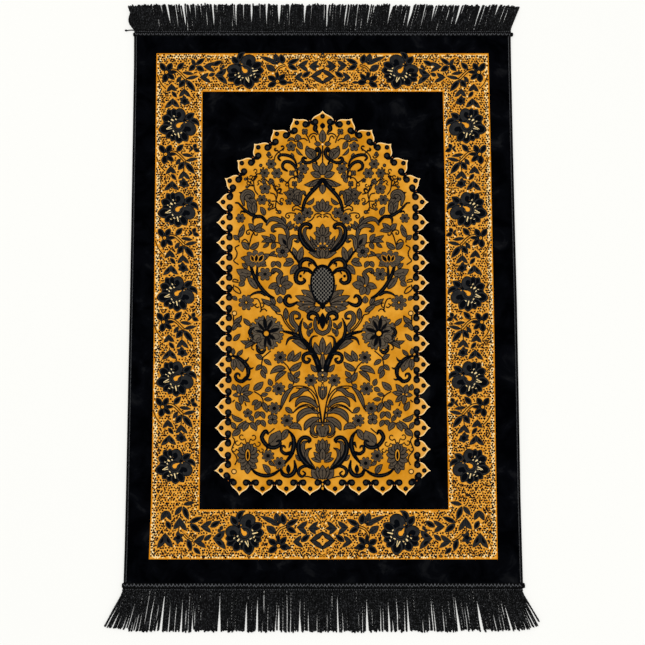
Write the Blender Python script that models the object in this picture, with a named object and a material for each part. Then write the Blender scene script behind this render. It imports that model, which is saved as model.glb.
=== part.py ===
"""A velvet prayer rug lying flat, with bound sides, a rolled heading and a cut fringe at each end.

Metres, +Z up. The rug rests on the plane Z = 0 and the origin is under the middle of its cloth.
+Y runs towards the far end, where the woven niche has its point; +X is to the right of someone facing it.
"""

import math

import bmesh
import bpy
import numpy as np

MM = 0.001

# Driving dimensions
RUG_WIDTH = 0.700          # between the outer faces of the two side bindings
CLOTH_SHOWN = 0.996        # length of cloth that shows between the two headings
CLOTH_THICK = 0.0040       # woven ground and pile together
CLEARANCE = 0.0003         # between sewn pieces, so that no two solids touch

# Side bindings: a narrow tape folded round each long edge
BINDING_REACH = 0.0055     # how far the tape reaches in over the cloth
BINDING_HIGH = 0.0046
TAPE_THICK = 0.0007
TAPE_ROUND = 0.0009        # rounding of the fold

# Headings: a padded roll folded round each end of the cloth
ROLL_HIGH = 0.0060
ROLL_WALL = 0.0015         # the fold outside the cloth's end
ROLL_TURN = 0.0030         # length over which a heading's end draws in

# Edge of the cloth where a tape or a roll is sewn round it
PINCH_LOW = TAPE_THICK + CLEARANCE
PINCH_HIGH = BINDING_HIGH - TAPE_THICK - CLEARANCE
PINCH_FADE = 0.0080        # how far in from the tape the cloth regains its full thickness

# Fringe
STRANDS = 150              # at each end
STRAND_THICK = 0.0022
STRAND_ROOT_WIDE = 0.0033
STRAND_TIP_WIDE = 0.0029
HEADER_DEEP = 0.0047       # the chain-stitched header that the strands come out of
HEADER_WIDE = 0.700
LEAST_SLIT = 0.0006        # between neighbouring strands at their tips
THREAD_WIDE = 0.0012       # the sewing thread's loose end, with a knot near its tip
KNOT_WIDE = 0.0023

# How far each side edge lies outside the straight line, in millimetres, down the rug
EDGE_COLUMNS = ("y", "left_out", "right_out")
EDGE_ROWS = (
    (510, 0.6, -0.4),
    (300, 0.0, -0.3),
    (150, -0.5, 0.3),
    (0, -0.9, 0.5),
    (-200, -0.6, 0.0),
    (-350, 0.0, -0.7),
    (-440, 0.5, -0.2),
    (-510, 0.9, 0.4),
)

# One row for each end of the rug, lengths in millimetres.
# way is the direction of that end along Y, thread_long the loose end of the header's sewing thread,
# and fan the lean of the strands in degrees, positive to the right, against X.
END_COLUMNS = (
    "name", "way", "roll_deep", "left_past", "right_past", "strand_long", "thread_long", "seed", "fan"
)
END_ROWS = (
    (
        "near", -1, 9.6, 4.4, 3.4, 65.0, 0.0, 5,
        ((-350, -30), (-322, -18), (-289, -9), (-262, -4), (-230, -1), (0, 0),
         (110, 3), (200, 9), (295, 15), (330, 23), (350, 36)),
    ),
    (
        "far", 1, 7.1, 1.8, 4.6, 48.0, 13.5, 11,
        ((-350, -16), (-330, -13), (-290, -12), (-250, -7), (-200, -2), (-100, 0),
         (0, 3), (60, 8), (130, 12), (200, 15), (300, 17), (335, 20), (350, 23)),
    ),
)

# Colours (linear RGB) and roughness
CLOTH_COLOUR = (0.006, 0.006, 0.008)
TRIM_COLOUR = (0.012, 0.012, 0.013)


def rows_of(columns, rows):
    """The rows of a table as dictionaries."""
    return [dict(zip(columns, row)) for row in rows]


ENDS = rows_of(END_COLUMNS, END_ROWS)


def clear_scene():
    """Removes whatever the file opened with."""
    for old in list(bpy.data.objects):
        bpy.data.objects.remove(old)


def collection(name):
    """A new collection in the scene."""
    made = bpy.data.collections.new(name)
    bpy.context.scene.collection.children.link(made)
    return made


def material(name, colour, roughness):
    """A plain Principled material."""
    made = bpy.data.materials.new(name)
    made.use_nodes = True
    shader = made.node_tree.nodes["Principled BSDF"]
    shader.inputs["Base Color"].default_value = (*colour, 1.0)
    shader.inputs["Roughness"].default_value = roughness
    shader.inputs["Metallic"].default_value = 0.0
    made.diffuse_color = (*colour, 1.0)
    return made


def place(name, data, group, finish):
    """An object for this data, in the group and with its material."""
    made = bpy.data.objects.new(name, data)
    data.materials.append(finish)
    group.objects.link(made)
    return made


def edge_x(side, y):
    """X of the rug's outer edge at this y, on the left (side -1) or the right (side 1)."""
    table = rows_of(EDGE_COLUMNS, reversed(EDGE_ROWS))
    column = "left_out" if side < 0 else "right_out"
    out = np.interp(y / MM, [row["y"] for row in table], [row[column] for row in table])
    return side * (RUG_WIDTH / 2 + out * MM)


def cloth_end(end):
    """Distance from the middle to where the cloth ends, inside this end's roll."""
    return CLOTH_SHOWN / 2 + end["roll_deep"] * MM - ROLL_WALL - CLEARANCE


def stations(full, pinched, fade, count):
    """Positions from 0 to 1 across the cloth, close together where its edges are pinched."""
    inner = [pinched / full, (pinched + fade / 2) / full, (pinched + fade) / full]
    middle = np.linspace(inner[-1], 1 - inner[-1], count)[1:-1]
    return [0.0, *inner, *middle, *[1 - share for share in reversed(inner)], 1.0]


def pinch(depth, covered):
    """How strongly the cloth is pinched, 1 to 0, this deep in from its edge."""
    share = min(max((depth - covered) / PINCH_FADE, 0.0), 1.0)
    return 1 - share * share * (3 - 2 * share)


def build_cloth(group, finish):
    """The rug's one piece of velvet: flat, and pinched thin where the trimmings wrap its edges."""
    near, far = (cloth_end(end) for end in ENDS)
    covered_x = BINDING_REACH - TAPE_ROUND
    covered_y = {end["way"]: end["roll_deep"] * MM for end in ENDS}
    across = stations(RUG_WIDTH, covered_x, PINCH_FADE, 8)
    along = stations(near + far, covered_y[-1], PINCH_FADE, 14)

    mesh = bpy.data.meshes.new("rug_cloth")
    shape = bmesh.new()
    layers = []
    for top in (True, False):
        made = bmesh.ops.create_grid(
            shape, x_segments=len(across) - 1, y_segments=len(along) - 1, size=0.5
        )["verts"]
        for vertex in made:
            column = round((vertex.co.x + 0.5) * (len(across) - 1))
            row = round((vertex.co.y + 0.5) * (len(along) - 1))
            y = -near + along[row] * (near + far)
            left, right = (edge_x(side, y) - side * (TAPE_ROUND + CLEARANCE) for side in (-1, 1))
            x = left + across[column] * (right - left)
            held = max(
                pinch(min(x - left, right - x), covered_x),
                pinch(y + near, covered_y[-1]),
                pinch(far - y, covered_y[1]),
            )
            low = held * PINCH_LOW
            high = CLOTH_THICK + held * (PINCH_HIGH - CLOTH_THICK)
            vertex.co = (x, y, high if top else low)
        faces = {face for vertex in made for face in vertex.link_faces}
        if not top:
            bmesh.ops.reverse_faces(shape, faces=list(faces))
        layers.append([edge for edge in shape.edges if edge.is_boundary and edge.verts[0] in set(made)])
    bmesh.ops.bridge_loops(shape, edges=layers[0] + layers[1])
    bmesh.ops.recalc_face_normals(shape, faces=shape.faces)
    shape.to_mesh(mesh)
    shape.free()
    return place("rug_cloth", mesh, group, finish)


def profile(name, points, guides):
    """A closed outline that a path sweeps, kept out of the render."""
    data = bpy.data.curves.new(name, "CURVE")
    data.dimensions = "2D"
    data.fill_mode = "NONE"
    line = data.splines.new("POLY")
    line.points.add(len(points) - 1)
    for point, (across, up) in zip(line.points, points):
        point.co = (across, up, 0, 1)
    line.use_cyclic_u = True
    made = bpy.data.objects.new(name, data)
    made.hide_render = True
    made.display_type = "WIRE"
    guides.objects.link(made)
    return made


def swept(name, outline, path, group, finish):
    """The outline swept along a path of (x, y, size), with its ends filled, upright all the way."""
    data = bpy.data.curves.new(name, "CURVE")
    data.dimensions = "3D"
    data.twist_mode = "Z_UP"
    data.bevel_mode = "OBJECT"
    data.bevel_object = outline
    data.use_fill_caps = True
    line = data.splines.new("POLY")
    line.points.add(len(path) - 1)
    for point, (x, y, size) in zip(line.points, path):
        point.co = (x, y, 0, 1)
        point.radius = size
    return place(name, data, group, finish)


def build_binding(name, side, group, guides, finish):
    """One side's tape: a fold round the cloth's edge, following that edge down the rug."""
    reach, high, thick, turn = BINDING_REACH, BINDING_HIGH, TAPE_THICK, TAPE_ROUND
    # Across is measured outwards from the rug's edge, and up from the floor
    section = (
        (-reach, 0), (-turn, 0), (-turn * 0.3, turn * 0.3), (0, turn),
        (0, high - turn), (-turn * 0.3, high - turn * 0.3), (-turn, high), (-reach, high),
        (-reach, high - thick), (-turn, high - thick), (-turn, thick), (-reach, thick),
    )
    points = [(side * across, up) for across, up in section]
    outline = profile(name + "_section", points[::-side], guides)
    length = CLOTH_SHOWN / 2 - CLEARANCE
    path = [(edge_x(side, y), y, 1.0) for y in np.linspace(-length, length, 15)]
    return swept(name, outline, path, group, finish)


def build_heading(end, group, guides, finish):
    """One end's padded roll: a fold round the cloth's end, with its own ends drawn in past the sides."""
    deep, way = end["roll_deep"] * MM, end["way"]
    slot = deep - ROLL_WALL
    # Inwards is measured from the middle of the roll's depth, and up from the floor
    inner, outer = -deep / 2, deep / 2
    section = (
        (inner, 0), (outer - 0.8 * MM, 0), (outer, 0.8 * MM), (outer, 0.6 * ROLL_HIGH),
        (outer - 0.10 * deep, 0.83 * ROLL_HIGH), (outer - 0.34 * deep, 0.98 * ROLL_HIGH),
        (outer - 0.60 * deep, ROLL_HIGH), (outer - 0.86 * deep, 0.87 * ROLL_HIGH),
        (inner, BINDING_HIGH), (inner, BINDING_HIGH - TAPE_THICK),
        (inner + slot, BINDING_HIGH - TAPE_THICK), (inner + slot, TAPE_THICK),
        (inner, TAPE_THICK),
    )
    name = "heading_" + end["name"]
    outline = profile(name + "_section", section[::-1], guides)
    y = way * (CLOTH_SHOWN / 2 + deep / 2)
    left = edge_x(-1, y) - end["left_past"] * MM
    right = edge_x(1, y) + end["right_past"] * MM
    drawn = ((0.0, 0.62), (0.25, 0.84), (0.6, 0.96), (1.0, 1.0))
    start = [(left + share * ROLL_TURN, y, size) for share, size in drawn]
    finish_end = [(right - share * ROLL_TURN, y, size) for share, size in reversed(drawn)]
    path = start + finish_end
    return swept(name, outline, path[::-1] if way > 0 else path, group, finish)


def strand_tips(end, roots):
    """Where each strand's tip lies: sideways from its root, and how long the strand is."""
    chance = np.random.default_rng(end["seed"])
    fan_x, fan_angle = zip(*end["fan"])
    angles = np.radians(np.interp(roots / MM, fan_x, fan_angle))
    longs = end["strand_long"] * MM + chance.uniform(-1.2, 0.8, len(roots)) * MM

    # Combed locks: the strands of one lock lean together, which opens a slit beside it
    pulls = np.zeros(len(roots))
    first = 0
    while first < len(roots):
        count = int(chance.integers(4, 9))
        lock = slice(first, min(first + count, len(roots)))
        middle = roots[lock].mean() + chance.uniform(-1.5, 1.5) * MM
        pulls[lock] = (middle - roots[lock]) * 0.24
        first += count
    sideways = np.sin(angles) * longs + pulls
    reach = np.cos(angles) * longs

    # No strand's tip crosses its neighbour's
    tips = roots + sideways
    least = STRAND_TIP_WIDE / np.cos(angles) + LEAST_SLIT
    for i in range(1, len(tips)):
        tips[i] = max(tips[i], tips[i - 1] + max(least[i], least[i - 1]))
    tips += (roots + sideways - tips).mean()
    return tips, reach


def thread_end(x, y, long):
    """Outline of the sewing thread's loose end, which lies straight out to the left and is knotted."""
    # Share of the way out, and width
    stops = (
        (0.0, THREAD_WIDE), (0.78, THREAD_WIDE), (0.85, KNOT_WIDE), (0.94, KNOT_WIDE), (1.0, THREAD_WIDE),
    )
    above = [(x - share * long, y + wide / 2) for share, wide in stops]
    below = [(x - share * long, y - wide / 2) for share, wide in reversed(stops)]
    return above + below


def build_fringe(end, group, finish):
    """One end's fringe: strands that lie level on the floor, fused at their roots into the header."""
    way = end["way"]
    inner = CLOTH_SHOWN / 2 + end["roll_deep"] * MM + CLEARANCE
    root = inner + HEADER_DEEP
    half = HEADER_WIDE / 2
    pitch = HEADER_WIDE / STRANDS
    roots = (np.arange(STRANDS) + 0.5) * pitch - half
    tips, reaches = strand_tips(end, roots)

    outline = [(-half, inner), (half, inner)]
    for x, tip, reach in reversed(list(zip(roots, tips, reaches))):
        # A strand leaves the header straight, then leans: share of the way out, share of the lean
        bend = ((0.0, 0.0), (0.35, 0.20), (1.0, 1.0))
        slope = math.hypot(tip - x, reach) / reach
        line = []
        for out, lean in bend:
            wide = STRAND_ROOT_WIDE + out * (STRAND_TIP_WIDE - STRAND_ROOT_WIDE)
            wide *= 1 + out * (slope - 1)
            line.append((x + lean * (tip - x), root + out * reach, wide / 2))
        outline += [(at + wide, y) for at, y, wide in line]
        outline += [(at - wide, y) for at, y, wide in reversed(line)]
    if end["thread_long"]:
        outline += thread_end(-half, inner + HEADER_DEEP / 2, end["thread_long"] * MM)

    data = bpy.data.curves.new("fringe_" + end["name"], "CURVE")
    data.dimensions = "2D"
    data.fill_mode = "BOTH"
    data.extrude = STRAND_THICK / 2
    comb = data.splines.new("POLY")
    comb.points.add(len(outline) - 1)
    for point, (x, y) in zip(comb.points, outline):
        point.co = (x, way * y, 0, 1)
    comb.use_cyclic_u = True
    made = place("fringe_" + end["name"], data, group, finish)
    made.location.z = STRAND_THICK / 2
    return made


def main():
    """Builds the rug."""
    clear_scene()
    group = collection("prayer_rug")
    guides = collection("guides")
    velvet = material("velvet", CLOTH_COLOUR, 0.85)
    trim = material("trim_yarn", TRIM_COLOUR, 0.75)

    build_cloth(group, velvet)
    build_binding("binding_left", -1, group, guides, trim)
    build_binding("binding_right", 1, group, guides, trim)
    for end in ENDS:
        build_heading(end, group, guides, trim)
        build_fringe(end, group, trim)


main()
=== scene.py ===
"""A black velvet prayer rug with a woven gold niche and a flowered border, laid out flat.

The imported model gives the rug's sizes. Everything here is built round it: the velvet with its woven
artwork, the sewn side bindings, the padded heading rolls and the two fringes of twisted yarn.
"""

import logging
import math
from dataclasses import dataclass
from enum import Enum
from functools import cache

import bpy
import numpy as np
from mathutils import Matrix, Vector
from mathutils.geometry import delaunay_2d_cdt


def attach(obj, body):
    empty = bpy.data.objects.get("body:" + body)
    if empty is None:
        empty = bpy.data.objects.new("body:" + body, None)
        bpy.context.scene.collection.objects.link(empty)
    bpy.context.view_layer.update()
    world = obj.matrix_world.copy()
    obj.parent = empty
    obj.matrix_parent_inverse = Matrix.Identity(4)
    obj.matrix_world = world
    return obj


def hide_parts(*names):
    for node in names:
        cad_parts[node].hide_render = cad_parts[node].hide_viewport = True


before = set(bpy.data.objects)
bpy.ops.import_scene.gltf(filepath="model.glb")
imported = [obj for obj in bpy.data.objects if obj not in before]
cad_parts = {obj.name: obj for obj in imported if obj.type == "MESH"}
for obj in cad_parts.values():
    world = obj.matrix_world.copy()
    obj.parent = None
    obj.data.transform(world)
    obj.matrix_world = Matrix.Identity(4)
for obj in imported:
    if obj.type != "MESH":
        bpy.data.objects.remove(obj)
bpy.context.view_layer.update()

MM = 0.001
BODY = "root"
log = logging.getLogger("prayer_rug")


# ---------------------------------------------------------------- the photograph's view


@dataclass(frozen=True)
class PhotoView:
    """Where the rug was seen from, and which point of its face shows at each pixel."""

    side_px: int = 645
    lens_mm: float = 50.0
    sensor_mm: float = 36.0
    x: float = -0.0002
    y: float = -0.1952
    above_face: float = 1.6096
    tilt_deg: float = 5.56
    middle_px: float = 322.6

    def rug_points(self, pixels: np.ndarray) -> np.ndarray:
        """Finds the points of the rug's face that show at some pixels.

        Args:
            pixels: complex numbers, across + 1j * down, in pixels of the photograph.

        Returns:
            Complex numbers, X + 1j * Y, in metres.
        """
        reach = self.side_px * self.lens_mm / self.sensor_mm
        tilt = math.radians(self.tilt_deg)
        across = (pixels.real - self.side_px / 2) / reach
        up = (self.side_px / 2 - pixels.imag) / reach
        far = self.above_face / (math.cos(tilt) - up * math.sin(tilt))
        return (self.x + across * far) + 1j * (self.y + (up * math.cos(tilt) + math.sin(tilt)) * far)


VIEW = PhotoView()


@dataclass(frozen=True)
class Chart:
    """A drawing grid over part of the rug's face, counted from its upper left corner.

    left and top are where that corner shows in the photograph, in pixels. zoom is the number of
    grid squares to a pixel, across and down. A motif may be turned about the corner.
    """

    left: float
    top: float
    zoom: float
    zoom_down: float = 0.0
    move: complex = 0j
    turn_deg: float = 0.0

    def on_rug(self, outline: np.ndarray) -> np.ndarray:
        """Takes grid points, across + 1j * down, to the rug's face.

        Args:
            outline: grid points.

        Returns:
            Complex numbers, X + 1j * Y, in metres.
        """
        outline = outline * np.exp(1j * math.radians(self.turn_deg))
        down = self.zoom_down or self.zoom
        pixels = (self.left + outline.real / self.zoom) + 1j * (self.top + outline.imag / down)
        return VIEW.rug_points(pixels) + self.move


# ---------------------------------------------------------------- yarns and their finishes


FIELD_MM = 0.30
MOTIF_MM = 0.80


class Ink(Enum):
    """The colours that the weaver works with, one for each kind of region in the artwork.

    Each has its own word, the piece it is part of, and how high its regions stand. RIM and PALE also paint a
    highlight along the niche's edge, and CORE paints highlights on black stems and spots.
    """

    CLEAR = ("clear", "", 0.0)
    # The cream rim and the pale band are a painted highlight along the niche's edge; cream spots and pale rings use
    # these colours too.
    RIM = ("rim", "rim", FIELD_MM)
    PALE = ("pale", "pale", FIELD_MM)
    GOLD = ("gold", "gold", FIELD_MM)
    EDGE = ("edge", "edge", FIELD_MM)
    GROUND = ("ground", "ground", FIELD_MM)
    SPECK = ("speck", "specks", FIELD_MM)
    RUST = ("rust", "rust", FIELD_MM)
    DOT = ("dot", "dots", FIELD_MM)
    HEART = ("heart", "hearts", FIELD_MM)
    LINE = ("line", "lines", MOTIF_MM)
    RIB = ("rib", "lines", MOTIF_MM)
    BLACK = ("black", "black", MOTIF_MM)
    # The grey core is a painted highlight on black stems and spots.
    CORE = ("core", "grey", MOTIF_MM)
    TAUPE = ("taupe", "leaves", MOTIF_MM)
    FRILL = ("frill", "frill", MOTIF_MM)
    SEED = ("seed", "seeds", MOTIF_MM)
    CHARCOAL = ("charcoal", "border_leaves", MOTIF_MM)

    @property
    def piece(self) -> str:
        """The piece that its regions are part of."""
        return self.value[1]

    @property
    def level_mm(self) -> float:
        """How high its regions stand over the rug's face."""
        return self.value[2]


@dataclass(frozen=True)
class Finish:
    """A dyed yarn, cut or looped: its colours, how dull it is and how coarse its surface.

    Colours are linear. blotch_m is the width of the lighter and darker patches, grain_m of one tuft.
    blend is where on the patches each colour stands, and warp how streaky they are. On the velvet the
    lighter patches are painted sheen, and on the fringe the palest colour is painted highlights. A glow
    paints a highlight, a paler colour along the niche's edge; it is given as the niche's half width,
    the height where its arch springs, the arch's rise and the glow's depth.
    The floor has a finish too, with some light of its own.
    """

    name: str
    colours: tuple[tuple[float, float, float], ...]
    blend: tuple[float, ...] = (0.36, 0.68)
    blotch_m: float = 0.03
    warp: float = 0.0
    grain_m: float = 0.0011
    bump_mm: float = 0.25
    bump_strength: float = 0.6
    roughness: float = 0.9
    sheen: float = 0.0
    specular: float = 0.03
    light: tuple[float, float, float] | None = None
    glow: tuple[float, float, float, float] | None = None
    glow_colour: tuple[float, float, float] = (0.86, 0.45, 0.10)
    glow_share: float = 0.6

    def material(self) -> bpy.types.Material:
        """Makes the node material.

        Returns:
            A new material.
        """
        made = bpy.data.materials.new(self.name)
        made.use_nodes = True
        nodes, links = made.node_tree.nodes, made.node_tree.links
        shader = nodes["Principled BSDF"]
        self._set(shader, (
            ("Base Color", (*self.colours[0], 1)), ("Roughness", self.roughness),
            ("Specular IOR Level", self.specular), ("Sheen Weight", self.sheen),
        ))
        if self.light:
            self._set(shader, (("Emission Color", (*self.light, 1)), ("Emission Strength", 1.0)))
        place = nodes.new("ShaderNodeTexCoord")
        grain = nodes.new("ShaderNodeTexNoise")
        self._set(grain, (("Scale", 1 / self.grain_m), ("Detail", 2.0)))
        links.new(place.outputs["Object"], grain.inputs["Vector"])
        bump = nodes.new("ShaderNodeBump")
        self._set(bump, (("Strength", self.bump_strength), ("Distance", self.bump_mm * MM)))
        links.new(grain.outputs["Fac"], bump.inputs["Height"])
        links.new(bump.outputs["Normal"], shader.inputs["Normal"])
        if len(self.colours) > 1:
            blotch = nodes.new("ShaderNodeTexNoise")
            self._set(blotch, (
                ("Scale", 1 / self.blotch_m), ("Detail", 4.0), ("Roughness", 0.6), ("Distortion", self.warp),
            ))
            links.new(place.outputs["Object"], blotch.inputs["Vector"])
            ramp = nodes.new("ShaderNodeValToRGB")
            stops = ramp.color_ramp.elements
            while len(stops) < len(self.colours):
                stops.new(0.9)
            for stop, where, colour in zip(stops, self.blend, self.colours):
                stop.position, stop.color = where, (*colour, 1)
            links.new(blotch.outputs["Fac"], ramp.inputs["Fac"])
            tint = self._glowing(made, place, ramp) if self.glow else ramp.outputs["Color"]
            links.new(tint, shader.inputs["Base Color"])
        return made

    def _set(self, node: bpy.types.Node, values: tuple[tuple[str, float | tuple[float, ...]], ...]) -> None:
        """Sets a node's inputs by their names."""
        for name, value in values:
            node.inputs[name].default_value = value

    def _glowing(self, made: bpy.types.Material, place: bpy.types.Node, ramp: bpy.types.Node) -> bpy.types.NodeSocket:
        """Mixes in a paler colour along the niche's edge, as a painted highlight.

        Args:
            made: the material.
            place: its texture coordinates.
            ramp: its patches.

        Returns:
            The mixed colour.
        """
        nodes, links = made.node_tree.nodes, made.node_tree.links
        half, spring, rise, depth = self.glow

        def sum_of(
            kind: str, first: bpy.types.NodeSocket, second: bpy.types.NodeSocket | float = 0.0,
        ) -> bpy.types.NodeSocket:
            """Adds one arithmetic node.

            Args:
                kind: its operation.
                first: what goes in first.
                second: what goes in second, or a plain number.

            Returns:
                Its result.
            """
            node = nodes.new("ShaderNodeMath")
            node.operation = kind
            links.new(first, node.inputs[0])
            if isinstance(second, float):
                node.inputs[1].default_value = second
            else:
                links.new(second, node.inputs[1])
            return node.outputs[0]

        parts = nodes.new("ShaderNodeSeparateXYZ")
        links.new(place.outputs["Object"], parts.inputs[0])
        across = sum_of("POWER", sum_of("ABSOLUTE", sum_of("DIVIDE", parts.outputs["X"], half)), 2.0)
        up = sum_of("DIVIDE", sum_of("MAXIMUM", sum_of("SUBTRACT", parts.outputs["Y"], spring), 0.0), rise)
        edge = sum_of("SQRT", sum_of("ADD", across, sum_of("POWER", up, 2.0)))
        fade = nodes.new("ShaderNodeMapRange")
        fade.interpolation_type = "SMOOTHSTEP"
        for socket, value in zip(fade.inputs[1:5], (1 - depth / half, 1.0, 0.0, self.glow_share)):
            socket.default_value = value
        links.new(edge, fade.inputs[0])
        mix = nodes.new("ShaderNodeMix")
        mix.data_type = "RGBA"
        links.new(fade.outputs[0], mix.inputs["Factor"])
        links.new(ramp.outputs["Color"], mix.inputs[6])
        mix.inputs[7].default_value = (*self.glow_colour, 1)
        return mix.outputs[2]


def grey(light: float, blue: float = 1.12) -> tuple[float, float, float]:
    """Makes a dark neutral dye, a little blue."""
    return light, light * (1 + (blue - 1) / 3), light * blue


FINISHES: dict[str, Finish] = {
    # The velvet's lighter blotches are painted sheen, the gleam of pile brushed different ways.
    "velvet": Finish(
        "velvet_black", ((0.0004, 0.0005, 0.0009), (0.0018, 0.0021, 0.0031), (0.0100, 0.0105, 0.0118)),
        blend=(0.39, 0.58, 0.77), blotch_m=0.045, warp=0.6, grain_m=0.0016, bump_mm=0.35, roughness=1.0,
        specular=0.0,
    ),
    "rim": Finish("cream_yarn_and_rim_highlight", ((0.98, 0.68, 0.32),)),
    "pale": Finish("pale_gold_and_edge_highlight", ((0.86, 0.46, 0.11),)),
    # The glow paints a highlight: the gold grows paler towards the niche's edge.
    "gold": Finish(
        "yarn_gold", ((0.58, 0.225, 0.007), (0.79, 0.365, 0.036)), blotch_m=0.04,
        glow=(0.180, 0.175, 0.190, 0.026),
    ),
    "leaves": Finish("yarn_taupe", ((0.070, 0.053, 0.036), (0.092, 0.071, 0.050)), blotch_m=0.010),
    "lines": Finish("yarn_outline", ((0.0050, 0.0045, 0.0050),)),
    "black": Finish("yarn_black", ((0.0012, 0.0018, 0.0032),)),
    "grey": Finish("grey_highlight_on_black", (grey(0.0165),)),
    "frill": Finish("yarn_pale_taupe", ((0.110, 0.086, 0.058), (0.075, 0.058, 0.040)), blotch_m=0.004),
    "seeds": Finish("yarn_seed_grey", ((0.235, 0.215, 0.18),)),
    "edge": Finish("yarn_orange_edge", ((0.66, 0.235, 0.008),)),
    "ground": Finish("yarn_border_gold", ((0.60, 0.215, 0.007), (0.93, 0.47, 0.075)), blotch_m=0.005),
    "specks": Finish("yarn_cream", ((0.95, 0.66, 0.25), (1.0, 0.84, 0.50)), blotch_m=0.004),
    "rust": Finish("yarn_rust", ((0.36, 0.105, 0.014),)),
    "dots": Finish("yarn_dark_dots", ((0.0045, 0.0034, 0.0060),)),
    "border_leaves": Finish("yarn_charcoal", (grey(0.0140), grey(0.0260, 1.0)), blotch_m=0.006),
    "hearts": Finish("yarn_orange_heart", ((0.84, 0.35, 0.028),)),
    "trim": Finish(
        "yarn_trim", (grey(0.0018), grey(0.0050)), blotch_m=0.004, grain_m=0.0007, bump_mm=0.3,
        roughness=0.85, specular=0.025,
    ),
    "trim_grey": Finish(
        "thread_grey", (grey(0.060), grey(0.125)), blotch_m=0.003, grain_m=0.0006, roughness=0.6,
        sheen=0.04, specular=0.1,
    ),
    # The fringe's palest colour is painted highlights, the glints on the twisted plies; the header and knots share
    # this finish.
    "fringe": Finish(
        "yarn_fringe", (grey(0.0016), grey(0.0048), grey(0.062)), blend=(0.41, 0.54, 0.72), blotch_m=0.0024,
        grain_m=0.0006, roughness=0.55, specular=0.045,
    ),
    "floor": Finish(
        "pale_floor", ((0.42, 0.42, 0.405),), grain_m=1 / 60, bump_mm=0.5, bump_strength=0.05, specular=0.1,
        light=(0.553, 0.553, 0.538),
    ),
}


@cache
def material_of(finish: str) -> bpy.types.Material:
    """Makes a finish's material the first time it is asked for, and keeps it."""
    return FINISHES[finish].material()


# ---------------------------------------------------------------- drawing with outlines


def smooth_path(rows: np.ndarray, steps: int = 5) -> np.ndarray:
    """Threads a smooth curve through rows of numbers.

    Args:
        rows: one row for each stop of the path.
        steps: how many parts each stretch between two stops is divided into.

    Returns:
        Rows along the curve, with every stop among them.
    """
    full = np.vstack([2 * rows[0] - rows[1], rows, 2 * rows[-1] - rows[-2]])
    t = np.linspace(0, 1, steps, endpoint=False)[:, None]
    out = []
    for a, b, c, d in zip(full, full[1:], full[2:], full[3:]):
        out.append(b + 0.5 * t * (c - a + t * (2 * a - 5 * b + 4 * c - d + t * (3 * (b - c) + d - a))))
    return np.vstack([*out, rows[-1:]])


def ribbon(centre: np.ndarray, half: np.ndarray, round_ends: bool = True) -> np.ndarray:
    """Outlines a band of changing width.

    Args:
        centre: complex points along the band's middle.
        half: half of the width at each of them.
        round_ends: False for square ends.

    Returns:
        The outline's complex points.
    """
    along = np.gradient(centre)
    along /= np.maximum(np.abs(along), 1e-9)
    sides = 1j * along * half
    turns = np.exp(1j * np.radians((-55, 0, 55) if round_ends else ()))
    start = centre[0] - along[0] * half[0] * turns
    end = centre[-1] + along[-1] * half[-1] * turns
    return np.concatenate([(centre + sides)[::-1], start, centre - sides, end])


def oval(centre: complex, wide: float, high: float, sides: int = 12, turn: float = 0.0) -> np.ndarray:
    """Outlines an oval.

    Args:
        centre: its middle.
        wide: half its size along its own first direction.
        high: half its size across that.
        sides: how many points it has.
        turn: the first direction, in degrees.

    Returns:
        The outline's complex points.
    """
    around = np.arange(sides) * 2 * math.pi / sides
    return centre + (wide * np.cos(around) + 1j * high * np.sin(around)) * np.exp(1j * math.radians(turn))


def inside(points: np.ndarray, outline: np.ndarray) -> np.ndarray:
    """Tells which points an outline winds round.

    Args:
        points: complex points.
        outline: the outline's complex points.

    Returns:
        True or False for each point.
    """
    a, b = outline[None, :], np.roll(outline, -1)[None, :]
    found = []
    for first in range(0, len(points), max(1, 1_000_000 // len(outline))):
        p = points[first:first + max(1, 1_000_000 // len(outline)), None]
        left = ((b - a).conjugate() * (p - a)).imag
        up = (a.imag <= p.imag) & (b.imag > p.imag) & (left > 0)
        down = (a.imag > p.imag) & (b.imag <= p.imag) & (left < 0)
        found.append(up.sum(axis=1) != down.sum(axis=1))
    return np.concatenate(found) if found else np.zeros(0, dtype=bool)


class LeafKind(Enum):
    """A leaf's rim, body, ribs and core, if any, how pointed its ends are, and how near its tip it is widest."""

    BROWN = (Ink.LINE, Ink.TAUPE, Ink.RIB, None, 0.78, 0.85)
    DARK = (Ink.BLACK, Ink.CHARCOAL, Ink.BLACK, None, 0.88, 0.88)
    CORED = (Ink.BLACK, Ink.CHARCOAL, None, Ink.BLACK, 0.88, 0.88)
    PETAL = (Ink.BLACK, Ink.CHARCOAL, None, Ink.BLACK, 0.72, 1.12)
    SOLID = (Ink.LINE, Ink.BLACK, None, None, 0.8, 1.0)
    GILT = (Ink.GOLD, Ink.BLACK, None, None, 0.8, 1.0)


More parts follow.
